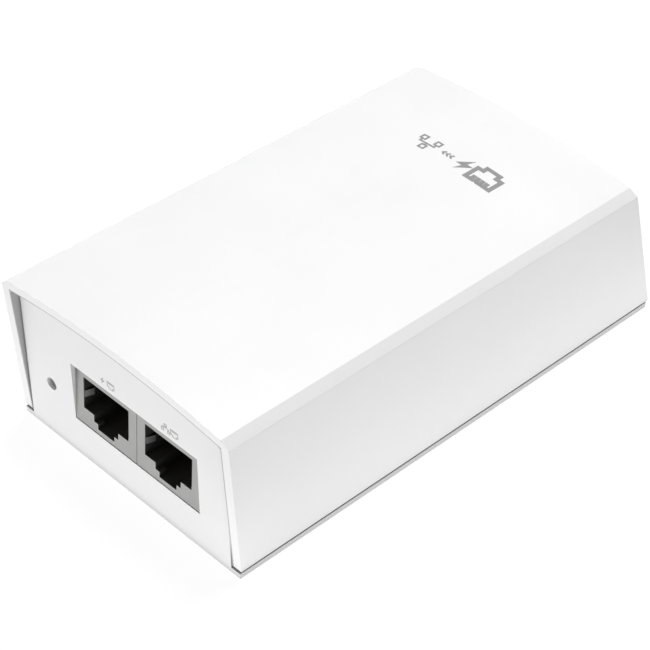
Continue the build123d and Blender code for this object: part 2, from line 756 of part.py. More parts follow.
for name, (x, y) in {"inrush_thermistor": thermistor_at, "surge_varistor": varistor_at}.items():
    with BuildPart() as disc:
        with BuildSketch(Plane.YZ.offset(x - disc_thickness / 2)):
            with Locations((y, board_top + disc_stand + disc_radius)):
                Circle(disc_radius)
        extrude(amount=disc_thickness)
        fillet(disc.edges(), disc_round)
        leads([(x, y + end * lead_half_span) for end in (-1, 1)], thick_lead,
              board_top + disc_stand + disc_radius)
    disc.part.label = name
    export_step(disc.part, f"parts/{name}.step")

with BuildPart() as y_capacitor:
    x, y = y_capacitor_at
    with BuildSketch(Plane.YZ.offset(x - disc_thickness / 2)):
        with Locations((y, board_top + disc_stand + disc_radius)):
            Circle(disc_radius)
    extrude(amount=disc_thickness)
    fillet(y_capacitor.edges(), disc_round)
    leads([(x, y + end * lead_half_span) for end in (-1, 1)], thin_lead,
          board_top + disc_stand + disc_radius)
y_capacitor.part.label = "y_capacitor"
export_step(y_capacitor.part, "parts/y_capacitor.step")

with BuildPart() as filter_capacitor:
    x, y = filter_at
    block(x, y, filter_size)
    fillet(filter_capacitor.edges().filter_by(Axis.Z), filter_round)
    leads([(x, y + end * filter_lead_half_span) for end in (-1, 1)], thin_lead)
filter_capacitor.part.label = "filter_capacitor"
export_step(filter_capacitor.part, "parts/filter_capacitor.step")

with BuildPart() as line_choke_core:
    with BuildSketch(Plane.XY.offset(board_top + choke_wrap + 2 * choke_gap)):
        with Locations(choke_at):
            Circle(choke_outer)
            Circle(choke_inner, mode=Mode.SUBTRACT)
    extrude(amount=choke_height)
line_choke_core.part.label = "line_choke_core"
export_step(line_choke_core.part, "parts/line_choke_core.step")

with BuildPart() as line_choke_windings:
    x, y = choke_at
    wall = choke_outer - choke_inner
    middle_radius = (choke_inner + choke_outer) / 2
    choke_z = board_top + choke_wrap + 2 * choke_gap + choke_height / 2
    for middle_angle in (0, 180):
        start = middle_angle - choke_span / 2
        across = Vector(1, 0, 0).rotate(Axis.Z, start)
        away = Vector(0, -1, 0).rotate(Axis.Z, start)
        with BuildSketch(Plane(origin=(x, y, choke_z), x_dir=across, z_dir=away)):
            with Locations((middle_radius, 0)):
                Rectangle(wall + 2 * (choke_gap + choke_wrap), choke_height + 2 * (choke_gap + choke_wrap))
                Rectangle(wall + 2 * choke_gap, choke_height + 2 * choke_gap, mode=Mode.SUBTRACT)
        revolve(axis=Axis((x, y, 0), (0, 0, 1)), revolution_arc=choke_span)
    leads([(x + side * middle_radius, y + end * choke_lead_half_span)
           for side in (-1, 1) for end in (-1, 1)], thin_lead, board_top + choke_wrap)
line_choke_windings.part.label = "line_choke_windings"
export_step(line_choke_windings.part, "parts/line_choke_windings.step")

with BuildPart() as bridge_rectifier:
    x, y = bridge_at
    block(x, y, bridge_size, board_top + chip_standoff)
    pin_x = bridge_size[0] / 2 - chip_pin / 2
    pin_y = bridge_size[1] / 2 - bridge_pin_inset
    leads([(x + i * pin_x, y + j * pin_y) for i in (-1, 1) for j in (-1, 1)], chip_pin / 2,
          board_top + chip_standoff)
bridge_rectifier.part.label = "bridge_rectifier"
export_step(bridge_rectifier.part, "parts/bridge_rectifier.step")

with BuildPart() as bulk_capacitor:
    x, y = bulk_at
    round_posts([bulk_at], bulk_radius, (board_top, board_top + bulk_height))
    fillet(bulk_capacitor.edges().filter_by(GeomType.CIRCLE), can_bevel)
    leads([(x, y + end * bulk_lead_half_span) for end in (-1, 1)], thin_lead)
bulk_capacitor.part.label = "bulk_capacitor"
export_step(bulk_capacitor.part, "parts/bulk_capacitor.step")


def chip(x, y, size, pins):
    """A moulded chip on two rows of pins, which run down through the board."""
    block(x, y, size, board_top + chip_standoff)
    first = x - chip_pin_pitch * (pins / 2 - 1) / 2
    row = size[1] / 2 - chip_pin / 2
    places = [(first + i * chip_pin_pitch, y + j * row) for i in range(pins // 2) for j in (-1, 1)]
    leads(places, chip_pin / 2, board_top + chip_standoff)


with BuildPart() as controller_chip:
    chip(*controller_at, chip_size, controller_pins)
controller_chip.part.label = "controller_chip"
export_step(controller_chip.part, "parts/controller_chip.step")

with BuildPart() as optocoupler:
    chip(*optocoupler_at, optocoupler_size, optocoupler_pins)
optocoupler.part.label = "optocoupler"
export_step(optocoupler.part, "parts/optocoupler.step")

# ---------------------------------------------------------------------------------------------------------
# Power devices, each screwed to a heatsink at the board's side
# ---------------------------------------------------------------------------------------------------------
power_devices = [
    ("power_switch", "switch_heatsink", 1, switch_y, switch_sink_length),
    ("output_rectifier", "rectifier_heatsink", -1, rectifier_y, rectifier_sink_length),
]

for device_name, sink_name, side, y, length in power_devices:
    screw_height = board_top + device_stand + device_hole_z
    near, far = sorted((side * sink_inner, side * (sink_inner + sink_thickness)))
    with BuildPart() as heatsink:
        box_between((near, far), (y - length / 2, y + length / 2), (board_top, board_top + sink_height))
        with BuildSketch(Plane.YZ.offset(near)):
            with Locations((y, screw_height)):
                Circle(device_screw_radius + screw_fit)
        extrude(amount=sink_thickness, mode=Mode.SUBTRACT)
        leads([(side * (sink_inner + sink_thickness / 2), y + end * (length / 2 - sink_pin_inset))
               for end in (-1, 1)], sink_thickness / 2)
    heatsink.part.label = sink_name
    export_step(heatsink.part, f"parts/{sink_name}.step")

    with BuildPart() as device:
        block(side * device_x, y, (device_thickness, device_width, device_height), board_top + device_stand)
        with BuildSketch(Plane.YZ.offset(side * device_x - device_thickness / 2)):
            with Locations((y, screw_height)):
                Circle(device_screw_radius + screw_slack)
        extrude(amount=device_thickness, mode=Mode.SUBTRACT)
        leads([(side * device_x, y + i * device_lead_pitch) for i in (-1, 0, 1)], thick_lead,
              board_top + device_stand)
    device.part.label = device_name
    export_step(device.part, f"parts/{device_name}.step")

with BuildPart() as heatsink_screws:
    for _, _, side, y, _ in power_devices:
        head_x = side * (device_x - device_thickness / 2)
        with BuildSketch(Plane.YZ.offset(head_x)):
            with Locations((y, board_top + device_stand + device_hole_z)):
                Circle(device_head_radius)
        extrude(amount=-side * device_head_height)
        with BuildSketch(Plane.YZ.offset(head_x)):
            with Locations((y, board_top + device_stand + device_hole_z)):
                Circle(device_screw_radius)
        extrude(amount=side * (device_thickness + sink_thickness))
heatsink_screws.part.label = "heatsink_screws"
export_step(heatsink_screws.part, "parts/heatsink_screws.step")

# ---------------------------------------------------------------------------------------------------------
# Transformer: two-window ferrite core, bobbin and winding
# ---------------------------------------------------------------------------------------------------------
core_x, core_y = transformer_at
core_bottom = board_top + bobbin_foot
window_width = (core_width - core_middle_leg) / 2 - core_leg
window_height = core_height - 2 * core_leg
tube_half_x = core_middle_leg / 2 + core_gap + bobbin_wall
tube_half_y = core_depth / 2 + core_gap + bobbin_wall
flange_half_x = core_width / 2 - core_leg - core_gap
flange_bottom = core_bottom + core_leg + core_gap
flange_top = core_bottom + core_height - core_leg - core_gap

with BuildPart() as transformer_core:
    block(core_x, core_y, (core_width, core_depth, core_height), core_bottom)
    for side in (-1, 1):
        block(core_x + side * (core_middle_leg + window_width) / 2, core_y,
              (window_width, core_depth, window_height), core_bottom + core_leg, Mode.SUBTRACT)
transformer_core.part.label = "transformer_core"
export_step(transformer_core.part, "parts/transformer_core.step")

with BuildPart() as transformer_bobbin:
    block(core_x, core_y, (2 * tube_half_x, 2 * tube_half_y, flange_top - flange_bottom), flange_bottom)
    for bottom in (flange_bottom, flange_top - bobbin_wall):
        block(core_x, core_y, (2 * flange_half_x, bobbin_depth, bobbin_wall), bottom)
    block(core_x, core_y, (core_middle_leg + 2 * core_gap, core_depth + 2 * core_gap, core_height),
          core_bottom, Mode.SUBTRACT)
    # feet before and behind the core, which carry the pins
    foot_depth = (bobbin_depth - core_depth) / 2 - core_gap
    for side in (-1, 1):
        block(core_x, core_y + side * (bobbin_depth - foot_depth) / 2,
              (2 * flange_half_x, foot_depth, flange_bottom - board_top))
    pin_pitch = (2 * flange_half_x - 2 * bobbin_wall) / (transformer_pins - 1)
    pin_row = (bobbin_depth - foot_depth) / 2
    leads([(core_x - flange_half_x + bobbin_wall + i * pin_pitch, core_y + side * pin_row)
           for i in range(transformer_pins) for side in (-1, 1)], thin_lead)
transformer_bobbin.part.label = "transformer_bobbin"
export_step(transformer_bobbin.part, "parts/transformer_bobbin.step")

with BuildPart() as transformer_winding:
    winding_bottom = flange_bottom + bobbin_wall + winding_gap
    winding_height = flange_top - flange_bottom - 2 * (bobbin_wall + winding_gap)
    winding_size = (2 * (flange_half_x - winding_inset), bobbin_depth - 2 * winding_inset, winding_height)
    block(core_x, core_y, winding_size, winding_bottom)
    fillet(transformer_winding.edges().filter_by(Axis.Z), winding_round)
    block(core_x, core_y, (2 * (tube_half_x + winding_gap), 2 * (tube_half_y + winding_gap), winding_height),
          winding_bottom, Mode.SUBTRACT)
transformer_winding.part.label = "transformer_winding"
export_step(transformer_winding.part, "parts/transformer_winding.step")

# ---------------------------------------------------------------------------------------------------------
# Outgoing side of the board
# ---------------------------------------------------------------------------------------------------------
with BuildPart() as output_capacitors:
    round_posts(output_capacitor_points, output_capacitor_radius,
                (board_top, board_top + output_capacitor_height))
    fillet(output_capacitors.edges().filter_by(GeomType.CIRCLE), can_bevel)
    leads([(x, y + end * lead_half_span)
           for x, y in output_capacitor_points for end in (-1, 1)], thin_lead)
output_capacitors.part.label = "output_capacitors"
export_step(output_capacitors.part, "parts/output_capacitors.step")

with BuildPart() as output_inductor:
    x, y = inductor_at
    round_posts([inductor_at], inductor_radius, (board_top, board_top + inductor_height))
    fillet(output_inductor.edges().filter_by(GeomType.CIRCLE), can_bevel)
    leads([(x + end * lead_half_span, y) for end in (-1, 1)], thick_lead)
output_inductor.part.label = "output_inductor"
export_step(output_inductor.part, "parts/output_inductor.step")

with BuildPart() as data_transformers:
    chip(*module_at, module_size, module_pins)
data_transformers.part.label = "data_transformers"
export_step(data_transformers.part, "parts/data_transformers.step")

with BuildPart() as signal_resistors:
    for x, y in resistor_points:
        block(x, y, resistor_size)
signal_resistors.part.label = "signal_resistors"
export_step(signal_resistors.part, "parts/signal_resistors.step")

# ---------------------------------------------------------------------------------------------------------
# Circuit board, last, because it has a hole for every lead above
# ---------------------------------------------------------------------------------------------------------
with BuildPart() as main_board:
    box_between((-board_half, board_half), (board_front_y, board_rear_y), (board_bottom, board_top))
    for points, radius in board_holes:
        round_posts(points, radius, (board_bottom, board_top), Mode.SUBTRACT)
    round_posts(post_points, boss_radius + board_gap, (board_bottom, board_top), Mode.SUBTRACT)
    round_posts(stand_points, board_screw_radius + screw_slack, (board_bottom, board_top), Mode.SUBTRACT)
    for x in jack_sides.values():
        for side in (-1, 1):
            block(x + side * (jack_width - shield_sheet) / 2, jack_face_y + shield_leg_depth,
                  (shield_sheet + 2 * lead_slack, shield_leg_width + 2 * lead_slack, board_thickness),
                  board_bottom, Mode.SUBTRACT)
main_board.part.label = "main_board"
export_step(main_board.part, "parts/main_board.step")

with BuildPart() as board_screws:
    round_posts(stand_points, board_head_radius, (board_top, board_top + board_head_height))
    round_posts(stand_points, board_screw_radius, (board_top - board_screw_length, board_top))
board_screws.part.label = "board_screws"
export_step(board_screws.part, "parts/board_screws.step")
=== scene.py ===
"""The looks of a power-over-Ethernet injector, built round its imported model.

Each finish, light and sub-assembly below is a class. A sub-assembly knows its own sizes in millimetres,
dresses the nodes that belong to it and adds the small pieces that only matter to the eye, such as printed
signs, turns of wire and solder.
"""
from __future__ import annotations

import logging
import math
from dataclasses import dataclass
from enum import Enum
from typing import Callable, Iterable, Sequence

import bmesh
import bpy
from mathutils import Matrix, Vector


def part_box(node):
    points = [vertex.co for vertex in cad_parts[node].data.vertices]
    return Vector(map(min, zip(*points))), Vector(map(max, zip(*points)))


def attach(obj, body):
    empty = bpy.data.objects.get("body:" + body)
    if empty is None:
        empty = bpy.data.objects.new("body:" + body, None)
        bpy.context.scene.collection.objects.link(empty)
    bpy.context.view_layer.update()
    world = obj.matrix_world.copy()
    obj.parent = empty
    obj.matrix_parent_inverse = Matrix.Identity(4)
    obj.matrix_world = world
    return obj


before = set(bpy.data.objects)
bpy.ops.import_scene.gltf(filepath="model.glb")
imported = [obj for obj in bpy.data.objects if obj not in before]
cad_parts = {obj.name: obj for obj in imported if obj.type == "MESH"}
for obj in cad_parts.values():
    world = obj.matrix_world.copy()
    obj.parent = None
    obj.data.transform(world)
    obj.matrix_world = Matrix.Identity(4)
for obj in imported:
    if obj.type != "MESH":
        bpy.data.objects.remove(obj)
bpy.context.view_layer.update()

MM = 0.001
log = logging.getLogger("injector")

Point = tuple[float, float]
Colour = tuple[float, float, float]
Lay = Callable[[float, float, float], Vector]  # puts a point of a flat shape, at a height, in its place

UP = Vector((0.0, 0.0, 1.0))
NOISE_MIDDLE = 0.5  # noise lies evenly round this value


# ---------------------------------------------------------------------------------------------------------
# Shader graphs
# ---------------------------------------------------------------------------------------------------------
class Term:
    """An output socket that takes part in arithmetic: each operator adds a Math node."""

    def __init__(self, graph: Graph, socket: bpy.types.NodeSocket) -> None:
        """Wraps a socket of a graph."""
        self.graph = graph
        self.socket = socket

    def _math(self, operation: str, first: Term | float, second: Term | float) -> Term:
        """Adds a Math node.

        Args:
            operation: the Math node's operation.
            first: its first value.
            second: its second value.

        Returns:
            The node's result.
        """
        node = self.graph.node("ShaderNodeMath", {"operation": operation}, {0: first, 1: second})
        return Term(self.graph, node.outputs[0])

    def __add__(self, other: Term | float) -> Term:
        """Sum of two values."""
        return self._math("ADD", self, other)

    def __radd__(self, other: float) -> Term:
        """Sum of a number and a value."""
        return self._math("ADD", other, self)

    def __sub__(self, other: Term | float) -> Term:
        """Difference of two values."""
        return self._math("SUBTRACT", self, other)

    def __rsub__(self, other: float) -> Term:
        """Difference of a number and a value."""
        return self._math("SUBTRACT", other, self)

    def __mul__(self, other: Term | float) -> Term:
        """Product of two values."""
        return self._math("MULTIPLY", self, other)

    def __rmul__(self, other: float) -> Term:
        """Product of a number and a value."""
        return self._math("MULTIPLY", other, self)

    def __truediv__(self, other: Term | float) -> Term:
        """Quotient of two values."""
        return self._math("DIVIDE", self, other)

    def __gt__(self, other: Term | float) -> Term:
        """One where the value is above the other, and zero elsewhere."""
        return self._math("GREATER_THAN", self, other)


class Graph:
    """The node graph of one material, which ends in a Principled shader."""

    def __init__(self, name: str) -> None:
        """Makes an empty material of that name, with its shader."""
        self.material = bpy.data.materials.new(name)
        self.material.use_nodes = True
        self.tree = self.material.node_tree
        self.tree.nodes.clear()
        self.shader = self.node("ShaderNodeBsdfPrincipled")
        self.node("ShaderNodeOutputMaterial", {}, {"Surface": Term(self, self.shader.outputs[0])})

    def node(self, kind: str, settings: dict | None = None, sockets: dict | None = None) -> bpy.types.Node:
        """Adds a node.

        Args:
            kind: the node's type.
            settings: the node's own settings, set first. The key stops holds a ramp's positions and colours.
            sockets: a value or a Term for each input, by name or by number.

        Returns:
            The node.
        """
        made = self.tree.nodes.new(kind)
        for key, value in (settings or {}).items():
            if key == "stops":
                ramp = made.color_ramp
                while len(ramp.elements) < len(value):
                    ramp.elements.new(1.0)
                for element, (position, colour) in zip(ramp.elements, value):
                    element.position = position
                    element.color = (*colour, 1.0)
            else:
                setattr(made, key, value)
        for key, value in (sockets or {}).items():
            self.feed(made.inputs[key], value)
        return made

    def feed(self, socket: bpy.types.NodeSocket, value: object) -> None:
        """Links a Term to a socket, or sets the socket's own value."""
        if isinstance(value, Term):
            self.tree.links.new(value.socket, socket)
        elif isinstance(value, (tuple, list)) and len(value) == 3 and socket.type == "RGBA":
            socket.default_value = (*value, 1.0)
        else:
            socket.default_value = value

    def place(self, stretch: Sequence[float] = (1.0, 1.0, 1.0)) -> Term:
        """Where a point is in the object, in millimetres, stretched along the axes."""
        where = self.node("ShaderNodeTexCoord").outputs["Object"]
        scale = tuple(1.0 / (MM * s) for s in stretch)
        node = self.node("ShaderNodeVectorMath", {"operation": "MULTIPLY"}, {0: Term(self, where), 1: scale})
        return Term(self, node.outputs["Vector"])

    def along(self, axis: int) -> Term:
        """A point's coordinate along X, Y or Z, numbered 0 to 2, in millimetres."""
        return Term(self, self.node("ShaderNodeSeparateXYZ", {}, {0: self.place()}).outputs[axis])

    def noise(self, where: Term, size: float, detail: float = 3.0) -> Term:
        """Soft noise around one half.

        Args:
            where: the place, in millimetres.
            size: the size of its features, in millimetres.
            detail: how many finer layers it has.

        Returns:
            The noise.
        """
        sockets = {"Vector": where, "Scale": 1.0 / size, "Detail": detail}
        return Term(self, self.node("ShaderNodeTexNoise", {}, sockets).outputs[0])

    def cells(self, where: Term, size: float) -> Term:
        """Distance to the nearest edge of irregular cells of that size in millimetres, as a share of it."""
        settings = {"feature": "DISTANCE_TO_EDGE"}
        sockets = {"Vector": where, "Scale": 1.0 / size}
        return Term(self, self.node("ShaderNodeTexVoronoi", settings, sockets).outputs["Distance"])

    def clamp(self, value: Term, low: float, high: float) -> Term:
        """Maps low to high onto 0 to 1, and holds the ends."""
        sockets = {"Value": value, "From Min": low, "From Max": high}
        return Term(self, self.node("ShaderNodeMapRange", {}, sockets).outputs[0])

    def blend(self, share: Term, first: Colour | Term, second: Colour | Term) -> Term:
        """Mixes two colours by a share from 0, the first, to 1, the second."""
        sockets = {0: share, 6: first, 7: second}
        return Term(self, self.node("ShaderNodeMix", {"data_type": "RGBA"}, sockets).outputs[2])

    def most(self, first: Term, second: Term) -> Term:
        """The larger of two values."""
        node = self.node("ShaderNodeMath", {"operation": "MAXIMUM"}, {0: first, 1: second})
        return Term(self, node.outputs[0])

    def shade(self, share: Term, colour: Colour) -> None:
        """Lays a second colour over the shader's own colour, by a share from 0 to 1."""
        own = self.shader.inputs["Base Color"].links[0].from_socket
        self.surface(base_color=self.blend(share, Term(self, own), colour))

    def relief(self, height: Term, depth: float) -> None:
        """Gives the shader a bumpy surface.

        Args:
            height: the relief, from 0 to 1.
            depth: its full depth, in millimetres.
        """
        bump = self.node("ShaderNodeBump", {}, {"Height": height, "Distance": depth * MM})
        self.feed(self.shader.inputs["Normal"], Term(self, bump.outputs[0]))

    def surface(self, **sockets: object) -> None:
        """Feeds the shader's sockets. Words are joined by _, and so base_color is Base Color."""
        for key, value in sockets.items():
            name = " ".join("IOR" if word == "ior" else word.capitalize() for word in key.split("_"))
            self.feed(self.shader.inputs[name], value)


# ---------------------------------------------------------------------------------------------------------
# Finishes
# ---------------------------------------------------------------------------------------------------------
@dataclass(frozen=True)
class Finish:
    """A surface finish. Each kind paints its own graph."""

    name: str
    colour: Colour

    def paint(self, graph: Graph) -> None:
        """Builds the finish in a graph."""
        raise NotImplementedError

    def material(self) -> bpy.types.Material:
        """The material, made the first time that it is asked for."""
        found = bpy.data.materials.get(self.name)
        if found is None:
            graph = Graph(self.name)
            self.paint(graph)
            found = graph.material
        return found

    def tint(self, factor: float) -> Colour:
        """The finish's colour, made darker or lighter."""
        red, green, blue = (min(1.0, part * factor) for part in self.colour)
        return red, green, blue


@dataclass(frozen=True)
class Moulding(Finish):
    """Moulded plastic: an even colour, a fine spark-eroded grain, and slightly uneven gloss."""

    roughness: float = 0.4
    gloss: float = 0.5
    grain: float = 0.35  # size of the grain, in millimetres
    grain_depth: float = 0.004
    grain_roughness: float = 0.10  # how far the grain changes the roughness
    cloud: float = 22.0  # size of the faint clouds in the colour
    cloud_span: Point = (0.3, 0.7)  # noise where a cloud ends and where it is full
    cloud_roughness: float = 0.08
    mottle: float = 0.03  # how much darker the clouds are

    def paint(self, graph: Graph) -> None:
        """Builds the plastic."""
        where = graph.place()
        cloud = graph.noise(where, self.cloud)
        grain = graph.noise(where, self.grain)
        uneven = self.cloud_roughness * (cloud - NOISE_MIDDLE) + self.grain_roughness * (grain - NOISE_MIDDLE)
        share = graph.clamp(cloud, *self.cloud_span)
        graph.surface(
            base_color=graph.blend(share, self.tint(1.0 - self.mottle), self.colour),
            roughness=self.roughness + uneven,
            specular_ior_level=self.gloss,
        )
        graph.relief(grain, self.grain_depth)


@dataclass(frozen=True)
class PaintedShadeMoulding(Moulding):
    """Plastic with shade painted on part of it, which two upright walls and the arched crown bound."""

    inner: float = 0.5  # brightness of the painted shade
    wall_x: float = 26.98
    arch_z: float = 34.45
    arch_radius: float = 166.8
    fade: float = 0.06  # width of the painted shade's soft edge

    def paint(self, graph: Graph) -> None:
        """Builds the plastic, then paints shade over part of it."""
        super().paint(graph)
        graph.shade(self.skin(graph), self.tint(self.inner))

    def skin(self, graph: Graph) -> Term:
        """One where shade is painted, and zero elsewhere."""
        raise NotImplementedError

    def crown(self, graph: Graph) -> Term:
        """A point's height, with what the crown has fallen there added back."""
        across = graph.along(0)
        return graph.along(2) + across * across / (2.0 * self.arch_radius)


@dataclass(frozen=True)
class Shell(PaintedShadeMoulding):
    """The cover's plastic, with shade painted on its inner side and along its lower edge by the seam."""

    foot_z: float = 2.5  # top of the shade painted along the lower edge

    def skin(self, graph: Graph) -> Term:
        """One inside the cover and on its lower edge, and zero on its outer side."""
        across = graph.along(0)
        below = graph.clamp(self.arch_z - self.crown(graph), 0.0, self.fade)
        between = graph.clamp(self.wall_x ** 2 - across * across, 0.0, self.fade * self.wall_x)
        foot = graph.clamp(self.foot_z - graph.along(2), 0.0, self.fade)
        return graph.most(below * between, foot)


@dataclass(frozen=True)
class Inset(PaintedShadeMoulding):
    """A panel set inside the cover, with shade painted along the corner between them."""

    wall_x: float = 26.1
    arch_z: float = 33.55
    fade: float = 0.5
    base_z: float = 1.66  # top of the base, below which no shade is painted

    def skin(self, graph: Graph) -> Term:
        """One along the panel's border, and zero on its middle and on the base."""
        across = graph.along(0)
        top = graph.clamp(self.crown(graph), self.arch_z, self.arch_z + self.fade)
        sides = graph.clamp(across * across, self.wall_x ** 2, (self.wall_x + self.fade) ** 2)
        return graph.most(top, sides) * (graph.along(2) > self.base_z)


@dataclass(frozen=True)
class Plate(Finish):
    """Rolled or plated metal: brushed along one axis, with cloudy tarnish."""

    roughness: float = 0.35
    grain: tuple[float, float, float] = (0.12, 6.0, 0.12)  # size of the brush marks along each axis
    grain_depth: float = 0.003
    grain_roughness: float = 0.14
    cloud: float = 3.5  # size of the tarnish's clouds
    cloud_span: Point = (0.35, 0.7)
    cloud_roughness: float = 0.10
    cloud_dulling: float = 0.08  # how far the tarnish takes the metal's look away
    tarnish: float = 0.15  # how much darker the tarnish is

    def paint(self, graph: Graph) -> None:
        """Builds the metal."""
        brushed = graph.noise(graph.place(self.grain), 1.0)
        cloud = graph.clamp(graph.noise(graph.place(), self.cloud, detail=4.0), *self.cloud_span)
        marks = self.grain_roughness * (brushed - NOISE_MIDDLE)
        dullness = self.cloud_roughness * (cloud - NOISE_MIDDLE)
        graph.surface(
            base_color=graph.blend(cloud, self.tint(1.0 - self.tarnish), self.colour),
            metallic=1.0 - self.cloud_dulling * cloud,
            roughness=self.roughness + marks + dullness,
        )
        graph.relief(brushed, self.grain_depth)


@dataclass(frozen=True)
class Ink(Finish):
    """Pad-printed ink, a little thin in places."""

    roughness: float = 0.5
    cover_roughness: float = 0.1
    speck: float = 0.5  # size of the thin places, in millimetres
    speck_span: Point = (0.35, 0.65)
    thin: float = 1.12  # how much brighter they are

    def paint(self, graph: Graph) -> None:
        """Builds the ink."""
        cover = graph.clamp(graph.noise(graph.place(), self.speck, detail=4.0), *self.speck_span)
        graph.surface(
            base_color=graph.blend(cover, self.tint(self.thin), self.colour),
            roughness=self.roughness + self.cover_roughness * cover,
        )


@dataclass(frozen=True)
class Lens(Finish):
    """Clear moulding that passes light and is frosted at its ends."""

    roughness: float = 0.3
    frost: float = 0.3  # size of the frosting's grain, in millimetres
    frost_roughness: float = 0.2
    refraction: float = 1.5
    clearness: float = 0.35

    def paint(self, graph: Graph) -> None:
        """Builds the clear plastic."""
        frost = graph.noise(graph.place(), self.frost, detail=2.0)
        graph.surface(
            base_color=self.colour,
            roughness=self.roughness + self.frost_roughness * frost,
            ior=self.refraction,
            transmission_weight=self.clearness,
        )


@dataclass(frozen=True)
class Laminate(Finish):
    """Circuit board: solder mask over copper areas and a woven core."""

    pour: float = 2.6  # size of the copper areas, in millimetres
    gap: Point = (0.04, 0.07)  # where the gap round a copper area ends and the copper begins
    gap_tint: float = 0.72
    yarn: float = 0.5  # size of the weave across a yarn
    run: float = 8.0  # and along it
    roughness: float = 0.28
    weave_roughness: float = 0.12
    weave_height: float = 0.2  # height of the weave, as a share of the relief
    depth: float = 0.03

    def paint(self, graph: Graph) -> None:
        """Builds the board."""
        pour = graph.clamp(graph.cells(graph.place(), self.pour), *self.gap)
        warp = graph.noise(graph.place((self.yarn, self.run, self.run)), 1.0, detail=1.0)
        weft = graph.noise(graph.place((self.run, self.yarn, self.run)), 1.0, detail=1.0)
        weave = warp + weft
        graph.surface(
            base_color=graph.blend(pour, self.tint(self.gap_tint), self.colour),
            roughness=self.roughness + self.weave_roughness * weave,
        )
        graph.relief(pour + self.weave_height * weave, self.depth)


@dataclass(frozen=True)
class Wound(Finish):
    """Enamelled wire or tape laid in turns along one axis, numbered 0 to 2, with shade painted into the
    grooves between the turns.
    """

    axis: int = 2
    turn: float = 0.8
    metallic: float = 0.9
    # painted shade: the grooves between turns are darkened to this share of the colour
    groove_shade: float = 0.45
    groove_metal: float = 0.6  # how much of the metal's look the grooves keep
    groove_depth: float = 0.4  # depth of the grooves, as a share of a turn
    roughness: float = 0.35
    smear: float = 1.2  # size of the smears, in millimetres
    smear_roughness: float = 0.15

    def paint(self, graph: Graph) -> None:
        """Builds the turns."""
        phase = graph.along(self.axis) * (2.0 * math.pi / self.turn)
        wave = Term(graph, graph.node("ShaderNodeMath", {"operation": "SINE"}, {0: phase}).outputs[0])
        ridge = wave * 0.5 + 0.5
        smear = graph.noise(graph.place(), self.smear, detail=2.0)
        graph.surface(
            base_color=graph.blend(ridge, self.tint(self.groove_shade), self.colour),
            metallic=self.metallic * (self.groove_metal + (1.0 - self.groove_metal) * ridge),
            roughness=self.roughness + self.smear_roughness * smear,
        )
        graph.relief(ridge, self.turn * self.groove_depth)


@dataclass(frozen=True)
class Seamless(Finish):
    """Pale paper that is lit a little from within, so that it stays pale under soft light."""

    glow: float = 0.92
    gloss: float = 0.1
    roughness: float = 0.8
    fibre: float = 3.0  # size of the paper's clouds, in millimetres
    fibre_roughness: float = 0.1
    fibre_tint: float = 0.985

    def paint(self, graph: Graph) -> None:
        """Builds the paper."""
        paper = graph.noise(graph.place(), self.fibre)
        graph.surface(
            base_color=graph.blend(paper, self.tint(self.fibre_tint), self.colour),
            roughness=self.roughness + self.fibre_roughness * paper,
            specular_ior_level=self.gloss,
            emission_color=(1.0, 1.0, 1.0),
            emission_strength=self.glow,
        )


WHITE = Shell("case_white", (0.86, 0.86, 0.86), roughness=0.42)
WHITE_PANEL = Moulding("panel_white", (0.84, 0.84, 0.84), roughness=0.46, grain=0.3)
# the front panel, with painted shade along its border next to the cover
FRONT_PANEL = Inset("front_white", (0.84, 0.84, 0.84), roughness=0.46, grain=0.3, inner=0.6)
BLACK = Moulding("black_moulding", (0.009, 0.0085, 0.0085), roughness=0.6, gloss=0.15, grain=0.25,
                 mottle=0.15)
TIN = Plate("tin_plate", (0.33, 0.33, 0.325), roughness=0.45)
# bare sheared metal, painted brighter than the plate as the highlight that the cut edge catches
CUT_EDGE_HIGHLIGHT = Plate("cut_edge_highlight", (0.50, 0.50, 0.49), roughness=0.5)
SOLDER = Plate("solder", (0.62, 0.62, 0.60), roughness=0.28, grain=(0.8, 0.8, 0.8))
GOLD = Plate("contact_gold", (0.86, 0.62, 0.24), roughness=0.25, tarnish=0.1)
NICKEL = Plate("blade_nickel", (0.72, 0.70, 0.66), roughness=0.24)
ZINC = Plate("screw_zinc", (0.46, 0.46, 0.48), roughness=0.36, grain=(0.3, 0.3, 0.3))
RUBBER = Moulding("foot_rubber", (0.16, 0.16, 0.165), roughness=0.75, gloss=0.25, grain=0.18,
                  grain_depth=0.02)
FILM = Moulding("label_film", (0.66, 0.67, 0.68), roughness=0.34, grain=0.12, grain_depth=0.002)
PIPE = Lens("smoked_pipe", (0.30, 0.31, 0.32))
LAMP = Moulding("lamp_epoxy", (0.70, 0.72, 0.70), roughness=0.25, grain=0.8)
GREY_INK = Ink("grey_ink", (0.26, 0.26, 0.265))
PALE_INK = Ink("pale_ink", (0.38, 0.38, 0.385))
BOARD = Laminate("board_mask", (0.03, 0.20, 0.08))
SHEET = Moulding("insulating_film", (0.72, 0.70, 0.58), roughness=0.3, grain=2.0, mottle=0.08)
FERRITE = Moulding("ferrite", (0.06, 0.06, 0.064), roughness=0.6, grain=0.2, grain_depth=0.012, mottle=0.2)
PHENOLIC = Moulding("bobbin_phenolic", (0.035, 0.028, 0.022), roughness=0.45)
TAPE = Wound("winding_tape", (0.80, 0.60, 0.08), turn=2.6, metallic=0.0)
COPPER = Wound("copper_turns", (0.72, 0.30, 0.12), axis=1, turn=0.9)
ALUMINIUM = Plate("heatsink_aluminium", (0.74, 0.75, 0.77), roughness=0.3, grain=(4.0, 0.1, 0.1),
                  tarnish=0.08)
SLEEVE = Moulding("can_sleeve", (0.02, 0.025, 0.05), roughness=0.22, grain=1.5, mottle=0.1)
